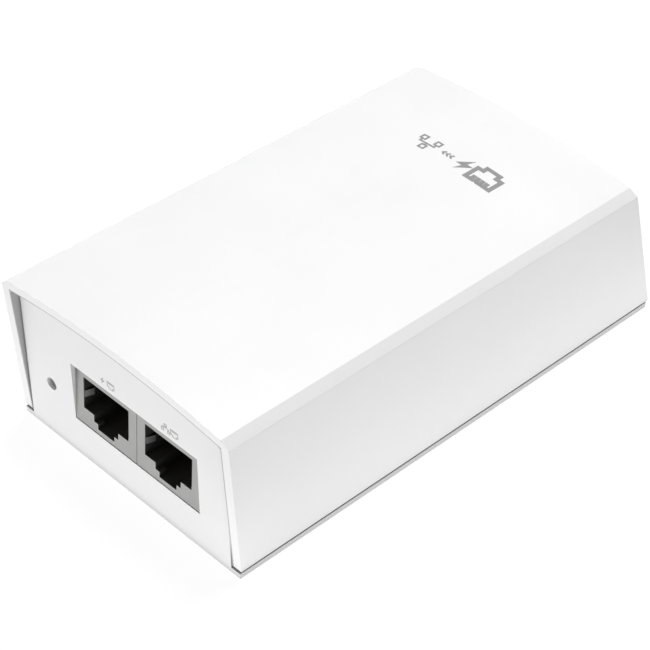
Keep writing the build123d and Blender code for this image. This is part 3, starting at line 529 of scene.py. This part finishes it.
BOXED = Moulding("film_yellow", (0.72, 0.52, 0.05), roughness=0.3, grain=0.6)
DIPPED = Moulding("disc_blue", (0.03, 0.10, 0.36), roughness=0.25, grain=1.6, grain_depth=0.03)
DARK_DIP = Moulding("disc_dark", (0.035, 0.055, 0.04), roughness=0.3, grain=1.6, grain_depth=0.03)
RESIN = Moulding("chip_resin", (0.028, 0.028, 0.030), roughness=0.55, grain=0.12, grain_depth=0.006,
                 mottle=0.12)
CAN_TOP = Plate("can_top", (0.68, 0.69, 0.70), roughness=0.35, grain=(0.2, 0.2, 0.2), tarnish=0.06)
STRIPE = Ink("can_stripe", (0.42, 0.44, 0.46))
SILK = Ink("silk_print", (0.62, 0.63, 0.60))
BARREL = Moulding("fuse_barrel", (0.035, 0.03, 0.03), roughness=0.4, grain=0.8)
TABLE = Seamless("table", (0.12, 0.12, 0.12))
BACKDROP = Seamless("backdrop", (0.12, 0.12, 0.12), glow=1.0)


# ---------------------------------------------------------------------------------------------------------
# Shapes
# ---------------------------------------------------------------------------------------------------------
SHARP_ANGLE = 40.0  # edges sharper than this are rounded, in degrees
WELD_DISTANCE = 0.001  # corners closer than this are one corner
FLAT_WEIGHT = 100  # how strongly large faces keep their own direction of shading
SAME_LEVEL = 0.01  # corners closer in height than this are level
MITRE_LIMIT = 0.3  # keeps sharp mitres from running out into spikes


def dress(node: str, finish: Finish, edge: float = 0.0, segments: int = 2) -> None:
    """Gives a node of the model its finish, and rounds its sharp edges.

    Args:
        node: the node's name.
        finish: its finish.
        edge: the radius of its edges, in millimetres, or 0 to leave them as they are.
        segments: the facets across each rounded edge.
    """
    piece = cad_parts[node]
    piece.data.materials.clear()
    piece.data.materials.append(finish.material())
    log.info("%s: %s", node, finish.name)
    if edge > 0:
        weld = piece.modifiers.new("weld", "WELD")
        weld.merge_threshold = WELD_DISTANCE * MM
        bevel = piece.modifiers.new("edges", "BEVEL")
        bevel.width = edge * MM
        bevel.segments = segments
        bevel.limit_method = "ANGLE"
        bevel.angle_limit = math.radians(SHARP_ANGLE)
        bevel.use_clamp_overlap = True
        flats = piece.modifiers.new("flats", "WEIGHTED_NORMAL")
        flats.mode = "FACE_AREA"
        flats.weight = FLAT_WEIGHT
        flats.keep_sharp = True


def corners(node: str) -> tuple[Vector, Vector]:
    """A node's lowest and highest corner, in millimetres."""
    low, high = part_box(node)
    return low / MM, high / MM


def on_level(z: float) -> Lay:
    """Lays a flat shape on a level surface at a height."""
    return lambda u, v, height: Vector((u, v, z + height))


def feet(node: str, reach: float) -> list[tuple[Vector, float]]:
    """Where a node's leads end.

    Args:
        node: the node's name.
        reach: corners closer than this belong to one lead, in millimetres.

    Returns:
        Each lead's middle, in millimetres, and its radius.
    """
    low, _ = corners(node)
    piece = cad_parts[node]
    ends = [piece.matrix_world @ v.co / MM for v in piece.data.vertices]
    groups: list[list[Vector]] = []
    for end in (e for e in ends if e.z < low.z + SAME_LEVEL):
        home = next((g for g in groups if any((end - other).length < reach for other in g)), None)
        if home is None:
            groups.append([end])
        else:
            home.append(end)
    found = []
    for group in groups:
        middle = sum(group, Vector()) / len(group)
        found.append((middle, max((end - middle).length for end in group)))
    return found


def polar(radius: float, angle: float, middle: Point = (0.0, 0.0)) -> Point:
    """A point at an angle, in degrees, round a middle."""
    turn = math.radians(angle)
    return middle[0] + radius * math.cos(turn), middle[1] + radius * math.sin(turn)


def rectangle(low: Sequence[float], high: Sequence[float], margin: float = 0.0) -> list[Point]:
    """A rectangle's corners, from its lowest and highest ones moved out by a margin."""
    left, right = low[0] - margin, high[0] + margin
    front, back = low[1] - margin, high[1] + margin
    return [(left, front), (right, front), (right, back), (left, back)]


class Model:
    """A mesh under construction, in millimetres."""

    def __init__(self) -> None:
        """Starts with an empty mesh."""
        self.mesh = bmesh.new()

    def prism(self, outline: Sequence[Point], low: float, high: float, lay: Lay) -> None:
        """Adds a flat shape with some thickness.

        Args:
            outline: its corners, in order.
            low: the height of its underside.
            high: the height of its upper side.
            lay: puts a point of the outline, at a height, in its place.
        """
        under = [self.mesh.verts.new(lay(u, v, low)) for u, v in outline]
        over = [self.mesh.verts.new(lay(u, v, high)) for u, v in outline]
        self.mesh.faces.new(over)
        self.mesh.faces.new(under[::-1])
        for i, start in enumerate(under):
            j = (i + 1) % len(under)
            self.mesh.faces.new((start, under[j], over[j], over[i]))

    def stroke(self, path: Sequence[Point], width: float, low: float, high: float, lay: Lay,
               closed: bool = False) -> None:
        """Adds a line of even width as one prism a stretch, with mitred corners.

        Args:
            path: the line's middle.
            width: its width.
            low: the height of its underside.
            high: the height of its upper side.
            lay: puts a point of the line, at a height, in its place.
            closed: whether the line comes back to its start.
        """
        count = len(path)
        sides = []
        for i, (u, v) in enumerate(path):
            before = Vector(path[i - 1] if closed or i else path[0])
            after = Vector(path[(i + 1) % count] if closed or i < count - 1 else path[-1])
            here = Vector((u, v))
            entry = (here - before).normalized() if (here - before).length else (after - here).normalized()
            leave = (after - here).normalized() if (after - here).length else entry
            across = Vector((-(entry + leave).y, (entry + leave).x)).normalized()
            half = width / 2 / max(MITRE_LIMIT, across.dot(Vector((-entry.y, entry.x))))
            sides.append((here + across * half, here - across * half))
        for i in range(count if closed else count - 1):
            left, right = sides[i]
            next_left, next_right = sides[(i + 1) % count]
            self.prism([tuple(left), tuple(right), tuple(next_right), tuple(next_left)], low, high, lay)

    def ring(self, middle: Vector, axis: Vector, radius: float, height: float,
             sides: int) -> list[bmesh.types.BMVert]:
        """Adds the corners of a ring.

        Args:
            middle: where its axis starts.
            axis: the axis's direction.
            radius: the ring's radius.
            height: how far along the axis it is.
            sides: how many corners it has.

        Returns:
            The mesh's new corners, in order.
        """
        turn = axis.normalized().to_track_quat("Z", "Y")
        angles = [2 * math.pi * i / sides for i in range(sides)]
        points = [Vector((radius * math.cos(a), radius * math.sin(a), height)) for a in angles]
        return [self.mesh.verts.new(middle + turn @ point) for point in points]

    def skin(self, rings: Sequence[list[bmesh.types.BMVert]], closed: bool = False) -> None:
        """Joins rings in a row, and caps the ends unless the row is closed."""
        following = list(rings[1:]) + ([rings[0]] if closed else [])
        for ring, after in zip(rings, following):
            for i, start in enumerate(ring):
                j = (i + 1) % len(ring)
                self.mesh.faces.new((start, ring[j], after[j], after[i]))
        if not closed:
            self.mesh.faces.new(rings[0][::-1])
            self.mesh.faces.new(rings[-1])

    def turned(self, profile: Sequence[Point], middle: Vector, axis: Vector, sides: int) -> None:
        """Adds a turned shape.

        Args:
            profile: distances from the axis and heights along it, from one end to the other.
            middle: where the axis starts.
            axis: its direction.
            sides: the facets round it.
        """
        self.skin([self.ring(middle, axis, radius, height, sides) for radius, height in profile])

    def loop(self, path: Sequence[Vector], radius: float, sides: int) -> None:
        """Adds a closed loop of round wire along a path."""
        rings = []
        for i, here in enumerate(path):
            axis = path[(i + 1) % len(path)] - path[i - 1]
            rings.append(self.ring(here, axis, radius, 0.0, sides))
        self.skin(rings, closed=True)

    def finished(self, name: str, finish: Finish, smooth: bool = False) -> bpy.types.Object:
        """Turns the mesh into an object in metres, which ends the mesh's construction.

        Args:
            name: the object's name.
            finish: its finish.
            smooth: whether its faces are shaded as one curved surface.

        Returns:
            The object.
        """
        bmesh.ops.recalc_face_normals(self.mesh, faces=self.mesh.faces)
        bmesh.ops.scale(self.mesh, vec=(MM, MM, MM), verts=self.mesh.verts)
        for face in self.mesh.faces:
            face.smooth = smooth
        data = bpy.data.meshes.new(name)
        self.mesh.to_mesh(data)
        self.mesh.free()
        data.materials.append(finish.material())
        made = bpy.data.objects.new(name, data)
        bpy.context.scene.collection.objects.link(made)
        log.info("%s: %d faces", name, len(data.polygons))
        return made

    def piece(self, name: str, finish: Finish, slot: str, smooth: bool = False) -> None:
        """Turns the mesh into a piece that rides on the case.

        Args:
            name: the piece's name.
            finish: its finish.
            slot: the record's material slot's name; not used.
            smooth: whether its faces are shaded as one curved surface.
        """
        made = self.finished(name, finish, smooth)
        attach(made, "case")


class Mark(Enum):
    """The signs that are printed on the case."""

    SOCKET = "socket"
    BOLT = "bolt"
    ARROWS = "arrows"
    NETWORK = "network"


@dataclass
class Sign:
    """One printed sign, drawn about its middle in a square of side 2, with U to the right and V up."""

    mark: Mark
    middle: Point
    size: float
    line: float
    turned: bool = False

    def print_on(self, model: Model, lay: Lay, height: float) -> None:
        """Adds the sign's shapes to a model.

        Args:
            model: the model that they go in.
            lay: puts a point of the printed surface in its place.
            height: the ink's thickness.
        """
        half = self.size / 2
        way = -1 if self.turned else 1

        def at(points: Iterable[Point]) -> list[Point]:
            """Points of the sign, on the printed surface."""
            return [(self.middle[0] + way * half * u, self.middle[1] + way * half * v) for u, v in points]

        def line(points: Iterable[Point], closed: bool = False) -> None:
            """A line of the sign."""
            model.stroke(at(points), self.line, -height, height, lay, closed)

        if self.mark is Mark.SOCKET:
            line([(-1, 0.8), (1, 0.8), (1, -0.45), (0.55, -0.45), (0.55, -0.85),
                  (-0.55, -0.85), (-0.55, -0.45), (-1, -0.45)], closed=True)
            for u in (-0.54, -0.18, 0.18, 0.54):
                line([(u, 0.8), (u, 0.3)])
        elif self.mark is Mark.BOLT:
            bolt = [(0.4, 1.0), (-0.75, -0.18), (-0.12, -0.18), (-0.4, -1.0), (0.75, 0.22), (0.12, 0.22)]
            model.prism(at(bolt), -height, height, lay)
        elif self.mark is Mark.ARROWS:
            for shift in (-1.0, 0.0, 1.0):
                line([(shift - 0.3, 0.6), (shift + 0.3, 0.0), (shift - 0.3, -0.6)])
        elif self.mark is Mark.NETWORK:
            line([(-0.9, -0.25), (-0.9, 0.1), (0.9, 0.1), (0.9, -0.25)])
            line([(0, 0.1), (0, 0.45)])
            for middle in ((-0.9, -0.6), (0.9, -0.6), (0, 0.75)):
                line(rectangle(middle, middle, 0.3), closed=True)


# ---------------------------------------------------------------------------------------------------------
# Sub-assemblies
# ---------------------------------------------------------------------------------------------------------
@dataclass
class Case:
    """The white case with its printed signs, and the small parts that are fixed to it."""

    ink: float = 0.03
    crown_rise: float = 2.2  # rise of the top's arch over its chord
    shoulder_in: float = 1.8  # from the case's side to the end of the chord
    panel_rake: float = 3.9  # lean of the front panel, in degrees
    rear_overhang: float = 10.73  # how far the raked side walls reach past the top's rear edge
    sign_from_rear: float = 20.6  # from that edge to the middle of the top's signs
    top_signs: tuple[tuple[Mark, float, float, float], ...] = (
        (Mark.SOCKET, 8.8, 5.8, 0.95),
        (Mark.BOLT, 3.6, 4.6, 0.5),
        (Mark.ARROWS, -0.6, 1.9, 0.42),
        (Mark.NETWORK, -5.8, 3.9, 0.42),
    )  # each sign's place across the top, its size and the width of its lines
    front_sign_shift: float = 1.6  # from a jack's middle to the middle of its two signs
    front_sign_rise: float = 2.0  # from a jack's top to the middle of its signs
    front_sign_pitch: float = 2.2
    front_sign_size: float = 1.75
    front_sign_line: float = 0.2

    def lay_on_top(self, u: float, v: float, height: float) -> Vector:
        """A point on the cover's arched top, or above it."""
        _, high = corners("top_cover")
        chord = high.x - self.shoulder_in
        radius = (chord * chord + self.crown_rise ** 2) / (2 * self.crown_rise)
        return Vector((u, v, high.z - radius + math.sqrt(radius * radius - u * u) + height))

    def lay_on_panel(self, u: float, v: float, height: float) -> Vector:
        """A point on the raked front panel, or in front of it."""
        low, high = corners("bottom_case")
        return Vector((u, low.y + (high.z - v) * math.tan(math.radians(self.panel_rake)) - height, v))

    def build(self) -> None:
        """Dresses the case and prints its signs."""
        for node, finish, edge, segments in (
            ("top_cover", WHITE, 0.16, 3),
            ("bottom_case", FRONT_PANEL, 0.1, 2),
            ("rear_panel", WHITE_PANEL, 0.15, 2),
            ("rubber_feet", RUBBER, 0.3, 3),
            ("case_screws", ZINC, 0.1, 2),
            ("status_lamp", LAMP, 0.1, 2),
        ):
            dress(node, finish, edge, segments)
        dress("light_pipe", PIPE)
        self.print_top()
        self.print_front()

    def print_top(self) -> None:
        """Prints the signs at the rear of the top, which read from behind."""
        line_y = corners("top_cover")[1].y - self.rear_overhang - self.sign_from_rear
        model = Model()
        for mark, x, size, line in self.top_signs:
            Sign(mark, (x, line_y), size, line, turned=True).print_on(model, self.lay_on_top, self.ink)
        model.piece("top_signs", GREY_INK, "label_film")

    def print_front(self) -> None:
        """Prints two signs over each jack."""
        for side, mark in (("poe", Mark.BOLT), ("lan", Mark.NETWORK)):
            low, high = corners(f"{side}_jack_shield")
            middle_x = (low.x + high.x) / 2 + self.front_sign_shift
            model = Model()
            for shift, sign in ((-0.5, mark), (0.5, Mark.SOCKET)):
                middle = (middle_x + shift * self.front_sign_pitch, high.z + self.front_sign_rise)
                printed = Sign(sign, middle, self.front_sign_size, self.front_sign_line)
                printed.print_on(model, self.lay_on_panel, self.ink / 2)
            model.piece(f"{side}_sign", PALE_INK, "label_film")


@dataclass
class RatingLabel:
    """The label under the case: a frame, plain signs, and lines in place of words."""

    ink: float = 0.03
    margin: float = 1.6
    frame_width: float = 0.25
    rows: tuple[tuple[Mark, float, float], ...] = (
        (Mark.BOLT, 5.0, 12.0),
        (Mark.SOCKET, 5.0, 4.0),
        (Mark.NETWORK, 4.2, -4.5),
        (Mark.ARROWS, 2.6, -12.5),
    )  # each row's sign, the sign's size and the row's place along the label
    sign_x: float = -6.5
    sign_line: float = 0.4
    lines: int = 3
    line_start: float = -1.5
    line_end: float = 9.0
    line_taper: float = 1.8  # how much sooner each line ends than the one above it
    line_pitch: float = 1.6
    line_width: float = 0.3

    def build(self) -> None:
        """Dresses the label and prints it."""
        dress("rating_label", FILM)
        low, high = corners("rating_label")
        lay = on_level(low.z)
        border = rectangle(low, high, -self.margin)
        model = Model()
        model.stroke(border, self.frame_width, -self.ink, self.ink, lay, closed=True)
        for mark, size, y in self.rows:
            Sign(mark, (self.sign_x, y), size, self.sign_line).print_on(model, lay, self.ink)
            for line in range(self.lines):
                line_y = y + self.line_pitch - self.line_pitch * line
                path = [(self.line_start, line_y), (self.line_end - self.line_taper * line, line_y)]
                model.stroke(path, self.line_width, -self.ink, self.ink, lay)
        model.piece("label_print", GREY_INK, "label_film")


@dataclass
class Jack:
    """One network jack: metal shield, black housing and gold wires."""

    side: str
    mouth_top: float = 10.8  # from the board to the top of the mouth
    steps: tuple[Point, ...] = (
        (5.95, 6.2), (5.95, 7.1), (3.25, 7.1), (3.25, 8.6), (2.2, 8.6), (2.2, 9.8),
    )  # half of the mouth's stepped lower edge: how far out, and how far below the top
    edge_width: float = 0.12  # width of the cut edge's strip, painted brighter as a highlight
    edge_height: float = 0.02

    def build(self) -> None:
        """Dresses the jack, and adds a brighter strip on the bare cut edge round the lower part of its mouth,
        as a painted highlight.
        """
        dress(f"{self.side}_jack_shield", TIN, edge=0.04)
        dress(f"{self.side}_jack_housing", BLACK, edge=0.05)
        dress(f"{self.side}_jack_contacts", GOLD)
        dress(f"{self.side}_jack_leads", GOLD)
        low, high = corners(f"{self.side}_jack_shield")
        foot_z = corners("main_board")[1].z
        middle_x = (low.x + high.x) / 2
        out = self.edge_width / 2
        half = [(u + out, foot_z + self.mouth_top - drop - out) for u, drop in self.steps]
        path = [(middle_x + u, v) for u, v in half] + [(middle_x - u, v) for u, v in reversed(half)]
        model = Model()
        model.stroke(path, self.edge_width, -self.edge_height, self.edge_height,
                     lambda u, v, height: Vector((u, low.y - height, v)))
        model.piece(f"{self.side}_cut_edge_highlight", CUT_EDGE_HIGHLIGHT, "shield_plate")


@dataclass
class MainsInlet:
    """The mains inlet in the rear panel."""

    def build(self) -> None:
        """Dresses the inlet."""
        dress("ac_inlet_housing", BLACK, edge=0.25, segments=3)
        dress("ac_inlet_pins", NICKEL, edge=0.15)


@dataclass
class Electronics:
    """The circuit board and the parts on it that need a finish only."""

    def build(self) -> None:
        """Dresses the board and its parts."""
        finishes = {
            "main_board": BOARD, "insulating_sheet": SHEET, "board_screws": ZINC,
            "transformer_core": FERRITE, "transformer_bobbin": PHENOLIC, "transformer_winding": TAPE,
            "switch_heatsink": ALUMINIUM, "rectifier_heatsink": ALUMINIUM, "heatsink_screws": ZINC,
            "filter_capacitor": BOXED, "y_capacitor": DIPPED, "surge_varistor": DIPPED,
            "inrush_thermistor": DARK_DIP, "controller_chip": RESIN, "optocoupler": RESIN,
            "data_transformers": RESIN, "bridge_rectifier": RESIN, "power_switch": RESIN,
            "output_rectifier": RESIN, "output_inductor": SLEEVE,
        }
        for node, finish in finishes.items():
            dress(node, finish)


@dataclass
class Solder:
    """The solder round every lead, under the board."""

    fillet: tuple[Point, ...] = ((0.32, 0.0), (0.26, 0.12), (0.1, 0.5))  # how far out, and how deep
    tip_share: float = 0.5  # the tip's radius, as a share of the lead's
    tip_depth: float = 0.8
    sides: int = 14
    reach: float = 0.9  # corners closer than this belong to one lead
    jack_reach: float = 0.45
    leaded: tuple[str, ...] = (
        "ac_inlet_pins", "poe_jack_leads", "lan_jack_leads", "bulk_capacitor", "output_capacitors",
        "filter_capacitor", "surge_varistor", "inrush_thermistor", "y_capacitor", "fuse", "bridge_rectifier",
        "controller_chip", "optocoupler", "data_transformers", "power_switch", "output_rectifier",
        "output_inductor", "transformer_bobbin", "line_choke_windings", "switch_heatsink",
        "rectifier_heatsink", "status_lamp",
    )

    def build(self) -> None:
        """Adds the solder joints."""
        model = Model()
        level = corners("main_board")[0].z
        for node in self.leaded:
            for end, radius in feet(node, self.jack_reach if "jack" in node else self.reach):
                profile = [(radius + out, depth) for out, depth in self.fillet]
                profile.append((radius * self.tip_share, self.tip_depth))
                model.turned(profile, Vector((end.x, end.y, level)), -UP, self.sides)
        model.piece("solder_joints", SOLDER, "blade_plate", smooth=True)


@dataclass
class Cans:
    """The round capacitors: sleeved cans with a bare, grooved top and a stripe."""

    rim: float = 1.1  # width of the sleeve's rim on top of a can
    top_profile: tuple[Point, ...] = ((0.0, -0.05), (0.0, 0.06), (0.2, 0.1))  # how far in, and how high
    sides: int = 48
    grooves: tuple[int, ...] = (0, 60, 120)  # their directions, in degrees
    groove_reach: float = 0.7  # length of a groove, as a share of the bare top
    groove_width: float = 0.35
    groove_low: float = 0.02
    groove_high: float = 0.2
    stripe_at: int = 200  # the stripe's direction, in degrees
    stripe_half: int = 16
    stripe_step: int = 4
    stripe_out: float = 0.03
    stripe_in: float = 0.05
    stripe_margin: float = 0.8

    def build(self) -> None:
        """Dresses the cans, and adds their tops and stripes."""
        dress("bulk_capacitor", SLEEVE)
        dress("output_capacitors", SLEEVE)
        bottom = corners("main_board")[1].z + self.stripe_margin
        first, last = self.stripe_at - self.stripe_half, self.stripe_at + self.stripe_half
        angles = range(first, last + 1, self.stripe_step)
        tops = Model()
        stripes = Model()
        for x, y, radius, top in self.cans():
            bare = radius - self.rim
            profile = [(bare - inward, height) for inward, height in self.top_profile]
            tops.turned(profile, Vector((x, y, top)), UP, self.sides)
            for turn in self.grooves:
                ends = [polar(bare * self.groove_reach, turn + half, (x, y)) for half in (0, 180)]
                tops.stroke(ends, self.groove_width, self.groove_low, self.groove_high, on_level(top))
            arc = [polar(radius + self.stripe_out, angle, (x, y)) for angle in angles]
            back = [polar(radius - self.stripe_in, angle, (x, y)) for angle in reversed(angles)]
            stripes.prism(arc + back, bottom, top - self.stripe_margin, on_level(0.0))
        tops.piece("can_tops", CAN_TOP, "can_sleeve")
        stripes.piece("can_stripes", STRIPE, "can_sleeve")

    def cans(self) -> list[tuple[float, float, float, float]]:
        """Each can's middle across and along, its radius and the height of its top."""
        low, high = corners("bulk_capacitor")
        bulk = ((low.x + high.x) / 2, (low.y + high.y) / 2, (high.x - low.x) / 2, high.z)
        low, high = corners("output_capacitors")
        radius = (high.x - low.x) / 2
        return [bulk] + [(low.x + radius, y, radius, high.z) for y in (low.y + radius, high.y - radius)]


@dataclass
class LineChoke:
    """The mains choke: a ring core with two windings, whose turns lie over the model's plain ones."""

    hole_radius: float = 4.2
    wire_side: float = 1.12  # how far the turns stand off the core's sides
    wire_end: float = 1.07  # and off its ends
    wire_radius: float = 0.3
    wire_sides: int = 6
    starts: Point = (-58.0, 122.0)
    turns: int = 14
    turn_angle: float = 9.0

    def build(self) -> None:
        """Dresses the choke and adds its turns."""
        dress("line_choke_core", FERRITE)
        dress("line_choke_windings", COPPER)
        low, high = corners("line_choke_core")
        middle = ((low.x + high.x) / 2, (low.y + high.y) / 2)
        outer = (high.x - low.x) / 2 + self.wire_side
        inner = self.hole_radius - self.wire_side
        bottom, top = low.z - self.wire_end, high.z + self.wire_end
        section = ((outer, bottom), (outer, top), (inner, top), (inner, bottom))
        model = Model()
        for start in self.starts:
            for turn in range(self.turns):
                angle = start + turn * self.turn_angle
                path = [Vector((*polar(radius, angle, middle), z)) for radius, z in section]
                model.loop(path, self.wire_radius, self.wire_sides)
        model.piece("choke_turns", COPPER, "copper_wire")


@dataclass
class FlatResistors:
    """The flat resistors on the board."""

    count: int = 3
    length: float = 3.2
    cap: float = 0.5  # length of an end
    lap: float = 0.05  # how far an end stands out lengthwise
    proud: float = 0.03  # and sideways
    rise: float = 0.04  # and on top

    def build(self) -> None:
        """Dresses the resistors and adds their solderable ends."""
        dress("signal_resistors", RESIN)
        low, high = corners("signal_resistors")
        pitch = (high.x - low.x - self.length) / (self.count - 1)
        model = Model()
        for i in range(self.count):
            left = low.x + i * pitch
            right = left + self.length
            for near, far in ((left - self.lap, left + self.cap), (right - self.cap, right + self.lap)):
                outline = rectangle((near, low.y - self.proud), (far, high.y + self.proud))
                model.prism(outline, 0.0, high.z - low.z + self.rise, on_level(low.z))
        model.piece("resistor_ends", SOLDER, "blade_plate")


@dataclass
class BoardPrint:
    """The outlines printed on the board, round its larger parts."""

    margin: float = 0.5
    line: float = 0.2
    ink: float = 0.03
    outlined: tuple[str, ...] = (
        "data_transformers", "controller_chip", "optocoupler", "bridge_rectifier", "filter_capacitor",
        "bulk_capacitor", "output_inductor", "transformer_bobbin", "fuse", "y_capacitor",
    )

    def build(self) -> None:
        """Prints the outlines."""
        lay = on_level(corners("main_board")[1].z)
        model = Model()
        for node in self.outlined:
            model.stroke(rectangle(*corners(node), self.margin), self.line, 0.0, self.ink, lay, closed=True)
        model.piece("board_print", SILK, "label_film")


@dataclass
class Fuse:
    """The round fuse with its moulded rim."""

    rim_profile: tuple[Point, ...] = ((0.5, 0.0), (0.5, 0.12), (0.9, 0.2))  # how far in, and how high
    sides: int = 40

    def build(self) -> None:
        """Dresses the fuse and adds its rim."""
        dress("fuse", BLACK)
        low, high = corners("fuse")
        middle = Vector(((low.x + high.x) / 2, (low.y + high.y) / 2, high.z))
        radius = (high.x - low.x) / 2
        profile = [(radius - inward, height) for inward, height in self.rim_profile]
        model = Model()
        model.turned(profile, middle, UP, self.sides)
        model.piece("fuse_cap", BARREL, "black_moulding")


@dataclass(frozen=True)
class Lamp:
    """A soft rectangular light that the camera doesn't see. It looks at the injector, or else up."""

    name: str
    place: tuple[float, float, float]
    size: Point
    watts: float
    upward: bool = False

    def hang(self) -> None:
        """Adds the light."""
        data = bpy.data.lights.new(self.name, "AREA")
        data.shape = "RECTANGLE"
        data.size = self.size[0] * MM
        data.size_y = self.size[1] * MM
        data.energy = self.watts
        lamp = bpy.data.objects.new(self.name, data)
        place = Vector(self.place)
        lamp.location = place * MM
        lamp.rotation_euler = (UP if self.upward else -place).to_track_quat("-Z", "Y").to_euler()
        lamp.visible_camera = False
        bpy.context.scene.collection.objects.link(lamp)


@dataclass
class Studio:
    """The table, the soft lights and the camera."""

    azimuth: float = 42.5  # the camera's direction from the front, in degrees
    elevation: float = 39.611
    roll: float = 3.943
    distance: float = 389.0  # from the camera to the point that it looks at
    aim: tuple[float, float, float] = (3.74, -9.22, 17.0)
    lens: float = 117.97
    sensor: float = 36.0
    near_clip: float = 10.0
    reach: float = 3000.0  # radius of the table
    thickness: float = 4.0
    table_sides: int = 64
    wall_inset: float = 50.0  # from the table's rim to the backdrop
    wall_step: int = 6  # turn between the backdrop's flats, in degrees
    surroundings: float = 0.24  # strength of the light from all round
    lamps: tuple[Lamp, ...] = (
        Lamp("overhead", (-60, 260, 1100), (500, 500), 11.6),
        Lamp("front_left", (-350, -900, 300), (500, 500), 1.5),
        Lamp("side_reflector", (60, 0, 1), (60, 150), 0.015, upward=True),
        Lamp("front_reflector", (0, -84, 1), (110, 60), 0.0085, upward=True),
    )

    def build(self) -> None:
        """Sets up the table, the backdrop, the lights and the camera."""
        self.lay_table()
        self.raise_backdrop()
        self.light()
        self.place_camera()

    def lay_table(self) -> None:
        """Makes the pale table that the injector stands on."""
        model = Model()
        profile = [(self.reach, -self.thickness), (self.reach, 0.0)]
        model.turned(profile, Vector(), UP, self.table_sides)
        model.finished("table", TABLE)

    def raise_backdrop(self) -> None:
        """Makes the pale wall round the table, which only the camera sees: it lights nothing."""
        model = Model()
        path = [polar(self.reach - self.wall_inset, angle) for angle in range(0, 360, self.wall_step)]
        model.stroke(path, self.thickness, -self.thickness, self.reach, on_level(0.0), closed=True)
        wall = model.finished("backdrop", BACKDROP)
        wall.visible_diffuse = False
        wall.visible_glossy = False
        wall.visible_transmission = False
        wall.visible_shadow = False

    def light(self) -> None:
        """Adds the soft lights and the pale surroundings."""
        world = bpy.data.worlds.new("surroundings")
        bpy.context.scene.world = world
        world.use_nodes = True
        surround = world.node_tree.nodes["Background"]
        surround.inputs["Color"].default_value = (1, 1, 1, 1)
        surround.inputs["Strength"].default_value = self.surroundings
        for lamp in self.lamps:
            lamp.hang()
        bpy.context.scene.view_settings.view_transform = "Standard"

    def place_camera(self) -> None:
        """Places the camera by its angles and its distance from the point that it looks at."""
        turn, tilt, roll = (math.radians(a) for a in (self.azimuth, self.elevation, self.roll))
        forward = Vector((-math.sin(turn) * math.cos(tilt), math.cos(turn) * math.cos(tilt), -math.sin(tilt)))
        level = Vector((math.cos(turn), math.sin(turn), 0.0))
        right = level * math.cos(roll) + level.cross(forward) * math.sin(roll)
        up = right.cross(forward)
        data = bpy.data.cameras.new("camera")
        data.lens = self.lens
        data.sensor_width = self.sensor
        data.clip_start = self.near_clip * MM
        camera = bpy.data.objects.new("camera", data)
        axes = Matrix((right, up, -forward)).transposed()
        place = (Vector(self.aim) - forward * self.distance) * MM
        camera.matrix_world = Matrix.Translation(place) @ axes.to_4x4()
        bpy.context.scene.collection.objects.link(camera)
        bpy.context.scene.camera = camera


def main() -> None:
    """Builds the studio and each sub-assembly."""
    logging.basicConfig(level=logging.INFO, format="%(name)s: %(message)s")
    parts = [Studio(), Case(), RatingLabel(), Jack("poe"), Jack("lan"), MainsInlet(), Electronics(), Solder(),
             Cans(), LineChoke(), FlatResistors(), BoardPrint(), Fuse()]
    for part in parts:
        log.info("building %s", type(part).__name__)
        part.build()


if __name__ == "__main__":
    main()
